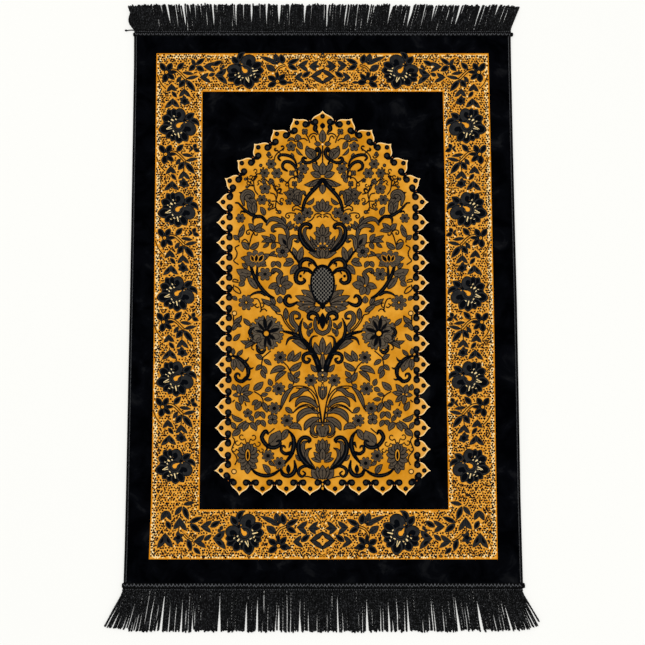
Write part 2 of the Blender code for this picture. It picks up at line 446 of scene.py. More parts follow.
class Artwork:
    """Flat regions of colour in the order they are drawn, each over those before it."""

    def __init__(self) -> None:
        """Starts an empty drawing."""
        self.chart: Chart = FaceChart()
        self.mirrored = True
        self.line = 1.0
        self.patches: list[tuple[Ink, np.ndarray]] = []

    def on(self, chart: Chart, line: float = 0.0) -> None:
        """Moves on to another grid, with another width of outline in its squares if one is given."""
        self.chart = chart
        self.line = line or self.line

    def patch(self, ink: Ink, outline: np.ndarray, once: bool = False) -> None:
        """Draws one filled outline.

        Args:
            ink: its colour.
            outline: complex points of the grid.
            once: True for a shape on the middle line, which has no mirror image.
        """
        placed = self.chart.on_rug(outline)
        self.patches.append((ink, placed))
        if self.mirrored and not once:
            self.patches.append((ink, -placed.conjugate()))

    def leaf(
        self, base: complex, tip: complex, wide: float, bend: float = 0.0,
        kind: LeafKind = LeafKind.BROWN, once: bool = False,
    ) -> None:
        """Draws a leaf or a petal, pointed at its tip.

        Args:
            base: where it grows from.
            tip: its point.
            wide: its greatest width.
            bend: how far its middle swings out, as a share of its length.
            kind: how it is filled.
            once: True for a leaf on the middle line.
        """
        rim, body, rib, core, blunt, swell = kind.value
        dark = kind in (LeafKind.DARK, LeafKind.CORED)
        wide *= 1.30 if dark else 1.12
        edge = self.line * (0.62 if dark else 1.0)
        t = np.array((0.0, 0.09, 0.22, 0.38, 0.55, 0.7, 0.83, 0.93, 1.0))
        axis = tip - base
        middle = base + axis * t + 1j * axis * bend * 4 * t * (1 - t)
        half = wide / 2 * np.maximum(np.sin(math.pi * t**swell), 0) ** blunt
        along = np.gradient(middle)
        along /= np.abs(along)

        def closed(inset: float, first: int, last: int) -> np.ndarray:
            """The outline between two stations, drawn in all round."""
            side = 1j * along * np.maximum(half - inset, 0.2)
            return np.concatenate([(middle + side)[first:last][::-1], (middle - side)[first:last]])

        self.patch(rim, closed(0, 0, 9), once)
        self.patch(body, closed(edge, 1, 8), once)
        if core:
            self.patch(core, closed(edge + wide * (0.19 if dark else 0.13), 2, 7), once)
        if rib and wide > 4 * self.line:
            thin = self.line * (0.32 if kind is LeafKind.BROWN else 0.45)
            self.patch(rib, ribbon(middle[1:7:2], np.full(3, thin), False), once)
            if abs(axis) > 13 * self.line:
                for i in (2, 4):
                    for side in (1j, -1j):
                        end = middle[i] + along[i] * half[i] * 0.8 + side * along[i] * half[i] * 0.6
                        self.patch(rib, np.array((middle[i], middle[i] + along[i] * thin * 2.4, end)), once)

    def arrow(self, apex: complex, tips: tuple[complex, complex], cored: bool) -> None:
        """Draws a pair of leaves grown together at their base, like an arrow's head.

        Args:
            apex: their base.
            tips: their points.
            cored: True for black cores, False for ribs.
        """
        notch = apex + 0.70 * (sum(tips) / 2 - apex)
        side = math.copysign(1.0, ((tips[0] - apex).conjugate() * (tips[1] - apex)).imag)
        shares = np.array([(0.0, 0.0), (0.15, 0.035), (0.36, 0.085), (0.62, 0.11), (0.87, 0.07), (1.06, 0.0)])
        for tip, way in ((tips[0], -side), (tips[1], side)):
            outer = apex + (tip - apex) * (shares[:, 0] + 1j * way * shares[:, 1])
            inner = tip + (notch - tip) * (np.array((0.25, 0.6, 1.0)) + 1j * way * np.array((0.13, 0.15, 0.0)))
            lobe = np.concatenate([outer, inner])
            heart = (apex + tip + notch + outer[2]) / 4
            shrink = 1 - 2.2 * self.line / (abs(notch - apex) + 0.4 * abs(tip - apex))
            self.patch(Ink.BLACK, lobe)
            self.patch(Ink.CHARCOAL, heart + (lobe - heart) * shrink)
            if cored:
                self.patch(Ink.BLACK, heart + (lobe - heart) * shrink * 0.46)
            else:
                rib = np.append(apex + (tip - apex) * 0.22, heart + (tip - heart) * np.array((0.1, 0.66)))
                self.patch(Ink.BLACK, ribbon(rib, np.array((0.5, 0.42, 0.2)) * self.line, False))

    def stroke(self, ink: Ink, stops: np.ndarray, narrower: float = 0.0) -> None:
        """Draws a smooth line of changing width.

        Args:
            ink: its colour.
            stops: rows of across, down and width.
            narrower: taken off the width.
        """
        rows = smooth_path(stops, 4 if len(stops) < 6 else 3)
        half = np.maximum(rows[:, 2] - narrower, 1.0) / 2
        self.patch(ink, ribbon(rows[:, 0] + 1j * rows[:, 1], half, half.max() > self.line))

    def vine(self, stops: np.ndarray) -> None:
        """Draws a thick black stem with a grey line along its middle, a painted highlight.

        Args:
            stops: rows of across, down and width.
        """
        self.stroke(Ink.BLACK, stops * (1, 1, 1.28))
        # The grey line along a thick stem's middle is a painted highlight.
        if stops[:, 2].max() > 26:
            inner = stops[1:-1] if len(stops) > 4 else stops
            self.stroke(Ink.CORE, inner * (1, 1, 0.22))

    def scroll(self, stops: np.ndarray) -> None:
        """Draws a brown leaf that curls along a line.

        Args:
            stops: rows of across, down and width.
        """
        self.stroke(Ink.LINE, stops * (1, 1, 1.06))
        self.stroke(Ink.TAUPE, stops, narrower=2 * self.line)
        self.stroke(Ink.RIB, stops[1:] * (1, 1, 0.0), narrower=-self.line * 0.6)

    def curl(self, root: complex, eye: complex, radius: float, way: float) -> None:
        """Draws a thin tendril that winds up round a point.

        Args:
            root: where it starts.
            eye: the point.
            radius: the width of its first turn.
            way: 1 or -1 for its direction.
        """
        first = np.angle(root - eye) - way * 0.9
        around = first + way * np.linspace(0.5, 1.75 * math.pi, 9)
        turn = eye + np.linspace(1.05, 0.42, 9) * radius * np.exp(1j * around)
        line = np.concatenate([[root], turn])
        self.stroke(Ink.LINE, np.column_stack([line.real, line.imag, np.full(10, self.line * 1.12)]))

    def disc(self, ink: Ink, centre: complex, radius: float, sides: int = 10, once: bool = False) -> None:
        """Draws a round spot."""
        self.patch(ink, oval(centre, radius, radius, sides), once)

    def flower(
        self, centre: complex, radius: float, petals: int, turn: float, heart: float, squash: float, once: bool,
    ) -> None:
        """Draws a round flower of equal petals.

        Args:
            centre: its middle.
            radius: how far its petals reach.
            petals: how many it has.
            turn: the direction of one petal, in degrees.
            heart: the radius of its heart.
            squash: its height against its width.
            once: True for a flower on the middle line.
        """
        step = 2 * math.pi / petals
        first = math.radians(turn)

        def placed(shape: np.ndarray) -> np.ndarray:
            """Points round the flower's middle, as the chart counts them."""
            return centre + shape.real + 1j * shape.imag * squash

        rims = np.array([(-0.5, 0.62), (-0.39, 0.84), (-0.22, 0.95), (0.0, 1.02), (0.22, 0.95), (0.39, 0.84)])
        angles = (first + step * (np.arange(petals)[:, None] + rims[:, 0])).ravel()
        reach = np.tile(rims[:, 1], petals) * radius
        self.patch(Ink.LINE, placed(reach * np.exp(1j * angles)), once)
        self.patch(Ink.TAUPE, placed((reach - self.line) * np.exp(1j * angles)), once)
        thin = 1j * self.line * 0.42
        gap = np.array((radius * 0.70, radius * 0.24 + thin, radius * 0.24 - thin))
        rib = np.array((radius * 0.72, radius * 0.45 + thin, radius * 0.36, radius * 0.45 - thin))
        for k in range(petals):
            self.patch(Ink.LINE, placed(np.exp(1j * (first + step * (k - 0.5))) * gap), once)
            self.patch(Ink.RIB, placed(np.exp(1j * (first + step * k)) * rib), once)
        self.patch(Ink.LINE, oval(centre, radius * 0.25, radius * 0.25 * squash, 8), once)
        self.patch(Ink.BLACK, oval(centre, heart, heart * squash, 8, 45), once)

    def fan(self, base: complex, lengths: np.ndarray, step_deg: float, wide: float) -> None:
        """Draws leaves spread out from one point of the middle line, the outermost first.

        Args:
            base: where they meet.
            lengths: the middle leaf's length, then those of the pairs beside it.
            step_deg: the angle between neighbours.
            wide: their width.
        """
        for k in range(len(lengths) - 1, -1, -1):
            for side in (-1, 1) if k else (1,):
                angle = math.radians(-90 + side * k * step_deg)
                way = math.cos(angle) + 1j * math.sin(angle)
                self.leaf(base + way * 8, base + way * lengths[k], wide, -0.04 * side * k, once=True)


# ---------------------------------------------------------------- cutting the artwork into regions


class Inlay:
    """The artwork cut into one surface, whose regions each have the colour that was drawn last."""

    def __init__(self, patches: list[tuple[Ink, np.ndarray]]) -> None:
        """Cuts the outlines against each other, then once more along the lines that still show.

        Args:
            patches: colours and outlines, X + 1j * Y, in the order they were drawn.
        """
        self.patches = patches
        edges: list[tuple[int, int]] = []
        for _, outline in patches:
            first, last = len(edges), len(edges) + len(outline) - 1
            edges += [(i, i + 1) for i in range(first, last)] + [(last, first)]
        self._cut(np.concatenate([outline for _, outline in patches]), edges)
        self._cut(*self._seams())

    def _cut(self, points: np.ndarray, edges: list[tuple[int, int]]) -> None:
        """Cuts the surface into triangles along some edges.

        Args:
            points: complex points.
            edges: pairs of their numbers.
        """
        cut = delaunay_2d_cdt([Vector((p.real, p.imag)) for p in points / MM], edges, [], 0, 2e-3, False)
        self.points = np.array([vertex.x + 1j * vertex.y for vertex in cut[0]]) * MM
        self.faces = np.array([tuple(face) for face in cut[2] if len(face) == 3], dtype=int)
        self.inks = self._painted(self.patches)
        self._orient()
        self.edges = np.concatenate([self.faces[:, (k, (k + 1) % 3)] for k in range(3)])
        self.owner = np.tile(np.arange(len(self.faces)), 3)
        keys = self.edges.min(axis=1) * len(self.points) + self.edges.max(axis=1)
        order = np.argsort(keys, kind="stable")
        pair = np.flatnonzero(keys[order][1:] == keys[order][:-1])
        self.beside = np.full(len(keys), -1)
        self.beside[order[pair]] = self.owner[order[pair + 1]]
        self.beside[order[pair + 1]] = self.owner[order[pair]]

    def _seams(self, slack_mm: float = 0.02, rounds: int = 6) -> tuple[np.ndarray, list[tuple[int, int]]]:
        """Finds the lines between two pieces, without the points that lie on a straight run.

        Args:
            slack_mm: how far a point may lie off the straight line.
            rounds: how often neighbouring points are thinned out.

        Returns:
            Points and the pairs of their numbers.
        """
        pieces = list(dict.fromkeys(ink.piece for ink in Ink))
        piece = np.array([pieces.index(ink.piece) for ink in Ink])[np.append(self.inks, 0)]
        seam = (piece[self.owner] != piece[self.beside]) & ((self.owner < self.beside) | (self.beside < 0))
        lines, points = self.edges[seam], self.points
        for _ in range(rounds):
            half = np.concatenate([lines, lines[:, ::-1]])
            half = half[np.argsort(half[:, 0], kind="stable")]
            first = np.searchsorted(half[:, 0], np.arange(len(points)))
            mid = np.flatnonzero(np.bincount(half[:, 0], minlength=len(points)) == 2)
            a, b = half[first[mid], 1], half[first[mid] + 1, 1]
            span = points[b] - points[a]
            off = np.abs((span.conjugate() * (points[mid] - points[a])).imag) / np.maximum(np.abs(span), 1e-9)
            straight = np.zeros(len(points), dtype=bool)
            straight[mid[(off < slack_mm * MM) & (a != b)]] = True
            go = straight[mid] & ~(straight[a] & (a < mid)) & ~(straight[b] & (b < mid))
            gone = np.zeros(len(points), dtype=bool)
            gone[mid[go]] = True
            lines = np.concatenate([lines[~gone[lines].any(axis=1)], np.column_stack([a[go], b[go]])])
        used, number = np.unique(lines, return_inverse=True)
        return points[used], [tuple(pair) for pair in number.reshape(-1, 2).tolist()]

    def _orient(self) -> None:
        """Turns every triangle to face up."""
        a, b, c = (self.points[self.faces[:, k]] for k in range(3))
        turned = ((b - a).conjugate() * (c - a)).imag < 0
        self.faces[turned] = self.faces[turned][:, ::-1]

    def _painted(self, patches: list[tuple[Ink, np.ndarray]]) -> np.ndarray:
        """Finds which colour was drawn last over each triangle.

        Args:
            patches: colours and outlines.

        Returns:
            The index of each triangle's colour in the list of all colours.
        """
        kinds = list(Ink)
        middles = self.points[self.faces].mean(axis=1)
        order = np.argsort(middles.real)
        ranked = middles[order]
        found = np.zeros(len(middles), dtype=int)
        for ink, outline in patches:
            low = np.searchsorted(ranked.real, outline.real.min())
            high = np.searchsorted(ranked.real, outline.real.max())
            span = ranked[low:high]
            near = np.flatnonzero((span.imag > outline.imag.min()) & (span.imag < outline.imag.max()))
            hit = near[inside(span[near], outline)]
            found[low + hit] = kinds.index(ink)
        painted = np.empty_like(found)
        painted[order] = found
        return painted

    def relief(self, name: str, inks: list[Ink], face_z: float, sink: float) -> bpy.types.Object:
        """Makes the raised pile of some colours: its tops, and walls down to whatever is lower.

        Args:
            name: the new object's name.
            inks: the colours.
            face_z: the height of the rug's face.
            sink: how far the walls reach below it.

        Returns:
            The new object.
        """
        kinds = list(Ink)
        levels = np.array([ink.level_mm for ink in kinds]) * MM
        levels[0] = -sink
        verts, faces, count = [], [], 0
        edges, owner = self.edges, self.owner
        below = np.where(self.beside >= 0, levels[self.inks[self.beside]], -sink)
        for ink in inks:
            mine = self.inks == kinds.index(ink)
            if not mine.any():
                continue
            level = levels[kinds.index(ink)]
            used, corners = np.unique(self.faces[mine], return_inverse=True)
            xy = self.points[used]
            verts.append(np.column_stack([xy.real, xy.imag, np.full(len(used), face_z + level)]))
            faces.append(corners.reshape(-1, 3) + count)
            number = np.full(len(self.points), -1)
            number[used] = np.arange(len(used)) + count
            count += len(used)
            drop = mine[owner] & (below < level - 1e-6)
            for depth in np.unique(below[drop]):
                ends = edges[drop & (below == depth)]
                feet, index = np.unique(ends, return_inverse=True)
                foot = index.reshape(-1, 2) + count
                xy = self.points[feet]
                verts.append(np.column_stack([xy.real, xy.imag, np.full(len(feet), face_z + depth)]))
                head = number[ends]
                faces.append(np.column_stack([head[:, 1], head[:, 0], foot[:, 0]]))
                faces.append(np.column_stack([head[:, 1], foot[:, 0], foot[:, 1]]))
                count += len(feet)
        return mesh_piece(name, np.vstack(verts), np.vstack(faces))


# ---------------------------------------------------------------- the artwork's charts


class Card:
    """Reads a motif card, in squares of the chart, and draws its motifs in the order written.

    A word alone on its line says what the lines after it are. Slashes part the motifs of a line,
    commas part the stops of one motif, and a colon follows the base that several leaves share.
    """

    LEAVES = {
        "leaf": LeafKind.BROWN, "dark": LeafKind.DARK, "cored": LeafKind.CORED, "solid": LeafKind.SOLID,
        "petal": LeafKind.PETAL, "gilt": LeafKind.GILT,
    }
    # A core disc is a grey painted highlight on a black heart.
    DISCS = {
        "ball": Ink.BLACK, "core": Ink.CORE, "gem": Ink.GOLD, "cream": Ink.RIM, "coal": Ink.CHARCOAL,
        "heart": Ink.HEART,
    }

    def __init__(self, text: str, axis: float | None = None) -> None:
        """Reads the lines.

        Args:
            text: the card.
            axis: the chart's middle line. What lies on it is drawn once.
        """
        self.axis = axis
        self.motifs: list[tuple[str, str]] = []
        word = ""
        for line in text.strip().splitlines():
            if line.isalpha():
                word = line
                continue
            for motif in line.split(" / "):
                base, _, tips = motif.rpartition(":")
                self.motifs += [(word, base + tip) for tip in tips.split(",")] if base else [(word, motif)]

    def draw(self, art: Artwork) -> None:
        """Draws every motif of the card.

        Args:
            art: the drawing, already on the card's chart.
        """
        for word, rest in self.motifs:
            rows = np.array([[float(n) for n in stop.split()] for stop in rest.split(",")])
            first = rows[0]
            at, to = complex(*first[:2]), complex(*first[2:4])
            once = self.axis is not None and abs(at.real - self.axis) < 1
            if word in self.LEAVES:
                bend = first[5] if len(first) > 5 else 0.0
                art.leaf(at, to, first[4], bend, self.LEAVES[word], once and abs(to.real - self.axis) < 1)
            elif word == "vee":
                art.arrow(at, (to, complex(*first[4:6])), len(first) > 6)
            elif word == "vine":
                art.vine(rows)
            elif word == "scroll":
                art.scroll(rows)
            elif word == "stem":
                self._line(art, Ink.LINE, rows, art.line * 6.4)
                self._line(art, Ink.GROUND, rows, art.line * 2.5)
            elif word == "thread":
                self._line(art, Ink.LINE, rows, art.line * (1.4 if self.axis else 2.0))
            elif word == "band":
                art.stroke(Ink.BLACK, rows + (0, 0, 34))
                art.stroke(Ink.CHARCOAL, rows)
            elif word == "stroke":
                art.stroke(Ink.BLACK, rows)
            elif word == "drop":
                art.patch(Ink.HEART, ribbon(np.linspace(at, to, 3), np.array((40.0, 22.0, 4.0)), False))
            elif word == "fleck":
                art.patch(Ink.SPECK, ribbon(np.array((at, to)), np.array((0.5, 0.38)) * first[4]))
            elif word == "flower":
                radius, petals = first[2], int(first[3])
                heart = first[4] if len(first) > 4 else radius * 0.13
                squash = first[5] if len(first) > 5 else 1.0
                turn = -90 + 180 / petals * (petals % 2 == 0)
                art.flower(at, radius, petals, turn, heart, squash, once)
            elif word == "curl":
                art.curl(at, to, first[4], first[5])
            elif word == "fan":
                art.fan(at, first[4:], first[2], first[3])
            elif word == "bud":
                art.disc(Ink.LINE, at, first[2] * 0.8, 8, once)
                art.disc(Ink.TAUPE, at, first[2] * 0.42, 6, once)
            elif word == "ring":
                art.disc(Ink.LINE, at, first[2] + art.line / 2, 14, once)
                art.disc(Ink.PALE, at, first[2] - art.line / 2, 14, once)
            else:
                art.disc(self.DISCS[word], at, first[2], 8 if first[2] < 50 else 20, once)

    def _line(self, art: Artwork, ink: Ink, rows: np.ndarray, wide: float) -> None:
        """Draws a line of one width through the stops."""
        art.stroke(ink, np.column_stack([rows[:, :2], np.full(len(rows), wide)]))


ARCH_CARD = """
thread
1497 530, 1497 640, 1497 770
1330 495, 1312 440, 1290 400, 1270 370
1318 420, 1345 385, 1395 372, 1425 392
1345 440, 1372 405, 1400 425, 1410 465, 1440 490
1300 470, 1260 440, 1200 450, 1150 480, 1100 455, 1045 470
865 720, 880 665, 930 610, 990 575, 985 545, 950 540
870 580, 920 610, 960 650, 1010 665
770 660, 800 690, 830 690, 840 665
985 985, 1040 1010, 1080 960, 1130 945, 1170 940
1055 1080, 1055 1030, 1040 1010
735 850, 690 900, 640 905, 590 985
815 1050, 780 1000, 730 960, 690 975
890 1240, 905 1170, 880 1075, 850 1000
1130 945, 1120 880, 1150 850
655 1175, 615 1120, 600 1050, 590 990, 530 965, 490 965
600 1060, 560 1055, 510 1070
600 990, 640 930, 590 935
515 935, 520 990, 555 1015, 560 990
850 1040, 870 1100, 920 1150, 980 1165
905 1110, 945 1105, 950 1140, 925 1140
880 1340, 890 1240, 870 1170, 810 1150
830 1260, 880 1255
890 1250, 930 1290, 960 1300
880 1340, 830 1360, 800 1360
885 1340, 910 1390, 940 1400
800 1330, 830 1300, 850 1325, 825 1340
1105 1385, 1110 1340, 1160 1315, 1215 1345
1120 1390, 1140 1360, 1190 1370, 1220 1390
1150 1420, 1090 1410, 1030 1420, 1015 1460, 1050 1480, 1065 1450, 1045 1440
1300 1520, 1340 1510, 1380 1470, 1400 1430, 1450 1420, 1490 1440
1420 1470, 1460 1450, 1490 1475
curl
586 1055 530 1017 30 1 / 640 905 614 859 28 -1 / 640 1050 675 1005 26 1 / 815 1050 812 980 26 -1
890 1110 941 1114 31 1 / 880 1075 922 1050 26 -1 / 860 1290 810 1307 28 -1 / 930 1260 969 1241 28 1
890 1350 903 1400 26 1 / 985 600 969 551 26 -1 / 915 612 885 579 26 1 / 1120 960 1155 945 26 1
1050 1000 1034 1045 26 -1 / 735 820 700 845 28 1 / 590 1000 560 940 26 -1
leaf
1497 500: 1497 318 92
1475 515: 1385 505 60
1185 470: 1165 380 80, 1240 580 70 .1
1140 470: 1035 480 40 .3
1155 565: 1245 660 38 .15
1400 705: 1290 530 105 -.1, 1265 590 80 .25
1405 700: 1395 600 55 -.2
1165 765: 1230 690 36 .3
1110 710: 1090 625 52
1215 935: 1180 1022 62
1497 925: 1497 745 105
1450 870: 1365 755 78
1475 945: 1335 885 85 .05
1475 965: 1250 1045 75 -.1
1470 975: 1310 1075 64
1497 1035: 1497 1168 84
1280 1290: 1385 1210 52 .2
1180 1290: 980 1140 88 .1
1180 1280: 1050 1075 96 .05
1185 1270: 1130 1060 86
1190 1275: 1192 1096 78
1120 1200: 1245 1170 80 -.35
1110 1220: 1220 1300 54 .2
725 1035: 730 970 58
790 1035: 850 965 54
600 1430: 400 1140 115 .2, 510 1250 80
610 1430: 600 1255 75
735 1450: 680 1330 68 .1
1470 1395: 1440 1250 50
975 1568: 960 1450 52 .1
solid
1497 315: 1497 232 62
scroll
1200 1300 24, 1205 1220 46, 1215 1160 50, 1255 1140 44, 1270 1180 30
470 1310 30, 448 1200 66, 500 1138 76, 568 1150 64, 588 1200 50, 545 1222 22
vine
1405 282 50, 1398 320 46, 1425 350 26, 1440 385 12
1425 610 20, 1412 580 28, 1440 568 34, 1462 610 38, 1450 670 38, 1410 715 30, 1380 740 20
1285 700 20, 1253 690 32, 1238 722 38, 1270 752 36, 1330 752 32, 1390 725 26, 1425 765 16
945 725 18, 918 690 26, 950 655 32, 1020 655 34, 1090 680 32, 1135 725 24, 1165 800 14
1034 862 20, 985 832 30, 975 782 34, 1012 742 36, 1080 750 36, 1138 806 34, 1166 880 24, 1168 915 12
1490 975 44, 1440 1045 46, 1350 1140 42, 1280 1230 38, 1245 1330 36, 1240 1400 36
360 1280 16, 400 1285 20, 450 1340 26, 530 1410 34, 620 1455 38, 700 1462 36, 765 1530 34
425 1415 10, 440 1390 18, 490 1400 24
620 1460 34, 590 1490 26, 590 1545 14
fan
1497 1400 31 88 178 164 152
flower
1265 350 46 4 / 1085 545 68 5 / 795 645 36 3 / 825 772 70 6 / 900 893 74 6 / 740 890 66 6
1245 835 74 6 / 705 1240 72 6 / 1215 925 48 3 / 960 985 34 5 / 1095 890 42 4 / 1130 1030 42 4
1072 1170 62 6 / 1055 1262 50 5 / 745 1095 78 5 / 425 1480 66 6 / 1300 1410 78 6 20
1195 1485 82 7 22
bud
690 790 30 / 1150 848 24 / 730 958 24 / 850 1000 24 / 490 968 28 / 510 1072 28 / 850 1035 28
800 1255 30 / 960 1290 30 / 800 1360 30 / 935 1400 35
ball
1355 1105 24
gem
1497 930 15 / 1497 1465 12 / 1400 1455 10
cream
1497 515 13
"""

HEART_CARD = """
thread
405 380, 405 440, 410 490
440 480, 480 450, 520 480, 530 520
600 350, 570 410, 550 480, 530 560
590 350, 545 325, 505 345, 510 380, 540 380, 535 355
600 360, 610 390, 640 395, 645 370
960 510, 880 485, 800 470
410 525, 355 560, 380 620, 370 680, 335 730, 400 780
340 1040, 330 1100, 390 1150, 430 1150, 400 1090, 350 1060
400 990, 345 970, 325 1000, 400 1010
850 1340, 900 1420, 960 1440, 1000 1530
600 1220, 650 1230, 680 1280, 690 1330, 700 1390
640 1290, 610 1310, 640 1340, 670 1330
700 1280, 730 1290, 720 1330, 690 1340
770 1390, 740 1360, 700 1370, 680 1400
335 1440, 335 1560
leaf
400 390: 465 250 68 .1
405 430: 485 325 64 -.1
405 455: 330 395 62
530 590: 430 490 78 .1
545 570: 665 480 74 .1
600 340: 525 245 74 .1, 720 235 74
600 345: 755 345 64 -.1
1005 260: 960 150 50 .1
1030 290: 1080 205 54 .1
1055 330: 1135 240 44
1040 560: 920 380 135 .05
880 480: 695 395 66 -.05
870 480: 805 380 64 .1
850 490: 695 490 54 .15
800 500: 715 560 48
880 490: 830 580 64
1180 740: 1110 550 76, 1235 540 86
1130 740: 980 800 80 .05
1120 720: 1010 700 64 -.1
1180 780: 1070 910 86
600 720: 425 690 84
640 730: 812 640 84
625 730: 770 800 76
610 735: 480 790 70
800 670: 880 600 44
830 670: 905 690 38 -.3
885 740: 835 820 64 .1, 945 825 64 -.1
580 900: 370 840 115 -.1
520 830: 440 760 54
490 990: 415 930 80
480 1000: 400 1060 75
650 1100: 510 925 82
320 1190: 385 1250 54
950 1050: 1045 920 95
955 1060: 1115 1030 110
940 1060: 785 1090 90 .1
935 1065: 900 1180 94
950 1065: 1000 1180 94
940 1290: 940 1185 78
1380 600: 1330 400 56 .08
1497 560: 1345 530 60, 1360 448 68, 1408 398 72, 1497 360 84
1480 705: 1310 622 90 .15
1497 700: 1420 560 80
1497 705: 1497 562 84
1425 1265: 1310 1040 96 .1
1420 1275: 1215 1110 104 .05
1410 1290: 1135 1185 96
1405 1300: 1128 1275 86 -.05
1405 1320: 1170 1345 92 -.05
1440 1330: 1262 1390 88 -.1
1470 1335: 1365 1405 72
880 1300: 695 1220 66 -.1
880 1310: 810 1175 60
950 1400: 800 1300 66
1020 1480: 1015 1340 70
340 1560: 440 1440 64 .1
520 1560: 465 1480 54
solid
1028 535: 975 440 42
scroll
765 260 24, 800 200 50, 870 182 66, 950 215 66, 1010 290 66, 1040 370 54, 1045 440 40
1010 300 50, 960 270 58, 900 270 56, 850 290 50, 846 340 44, 885 342 20
1060 600 30, 1068 520 64, 1075 450 66, 1120 412 54, 1176 430 46, 1172 480 40, 1130 470 18
930 1045 50, 920 960 66, 958 900 56, 900 850 50, 850 850 44, 845 892 34, 880 880 16
1400 600 20, 1310 480 50, 1262 390 52, 1272 312 42, 1320 300 20
vine
1030 560 16, 1090 620 22, 1150 700 24, 1215 790 26
560 800 30, 590 900 38, 640 1000 40, 700 1090 40, 790 1180 36, 860 1215 22
645 810 20, 640 900 28, 650 965 16
540 1195 14, 600 1155 24, 680 1140 32, 750 1172 34
1425 812 24, 1370 740 40, 1300 708 44, 1240 720 46, 1203 770 46, 1215 832 38, 1262 830 22
1320 800 14, 1322 762 22, 1352 772 12
1375 905 30, 1310 850 42, 1240 838 46, 1180 862 48, 1148 930 50, 1160 1000 46, 1220 1022 40, 1266 990 32, 1248 960 18
1250 900 12, 1270 868 20, 1302 870 10
1330 305 30, 1345 280 40, 1310 250 42, 1250 255 40, 1205 310 40, 1203 400 48, 1243 490 50, 1318 570 46, 1400 612 22
1085 1210 22, 1060 1183 32, 1018 1210 42, 1008 1270 46, 1050 1312 44, 1110 1302 36, 1165 1268 20
fan
1497 415 34 78 172 156 130
flower
1155 305 40 5 / 975 610 92 5 34 / 618 705 158 9 40 .74 / 745 905 92 6 / 500 1275 108 8 24
gilt
600 745: 562 655 54
625 755: 640 640 60
655 750: 725 650 62
ball
1210 930 20
ring
345 1415 30
core
975 610 12
gem
1470 505 16 / 1440 535 14 / 1270 1180 9 / 1245 1270 9 / 1320 1330 9 / 945 1055 15 / 1497 715 15
500 1275 14
"""

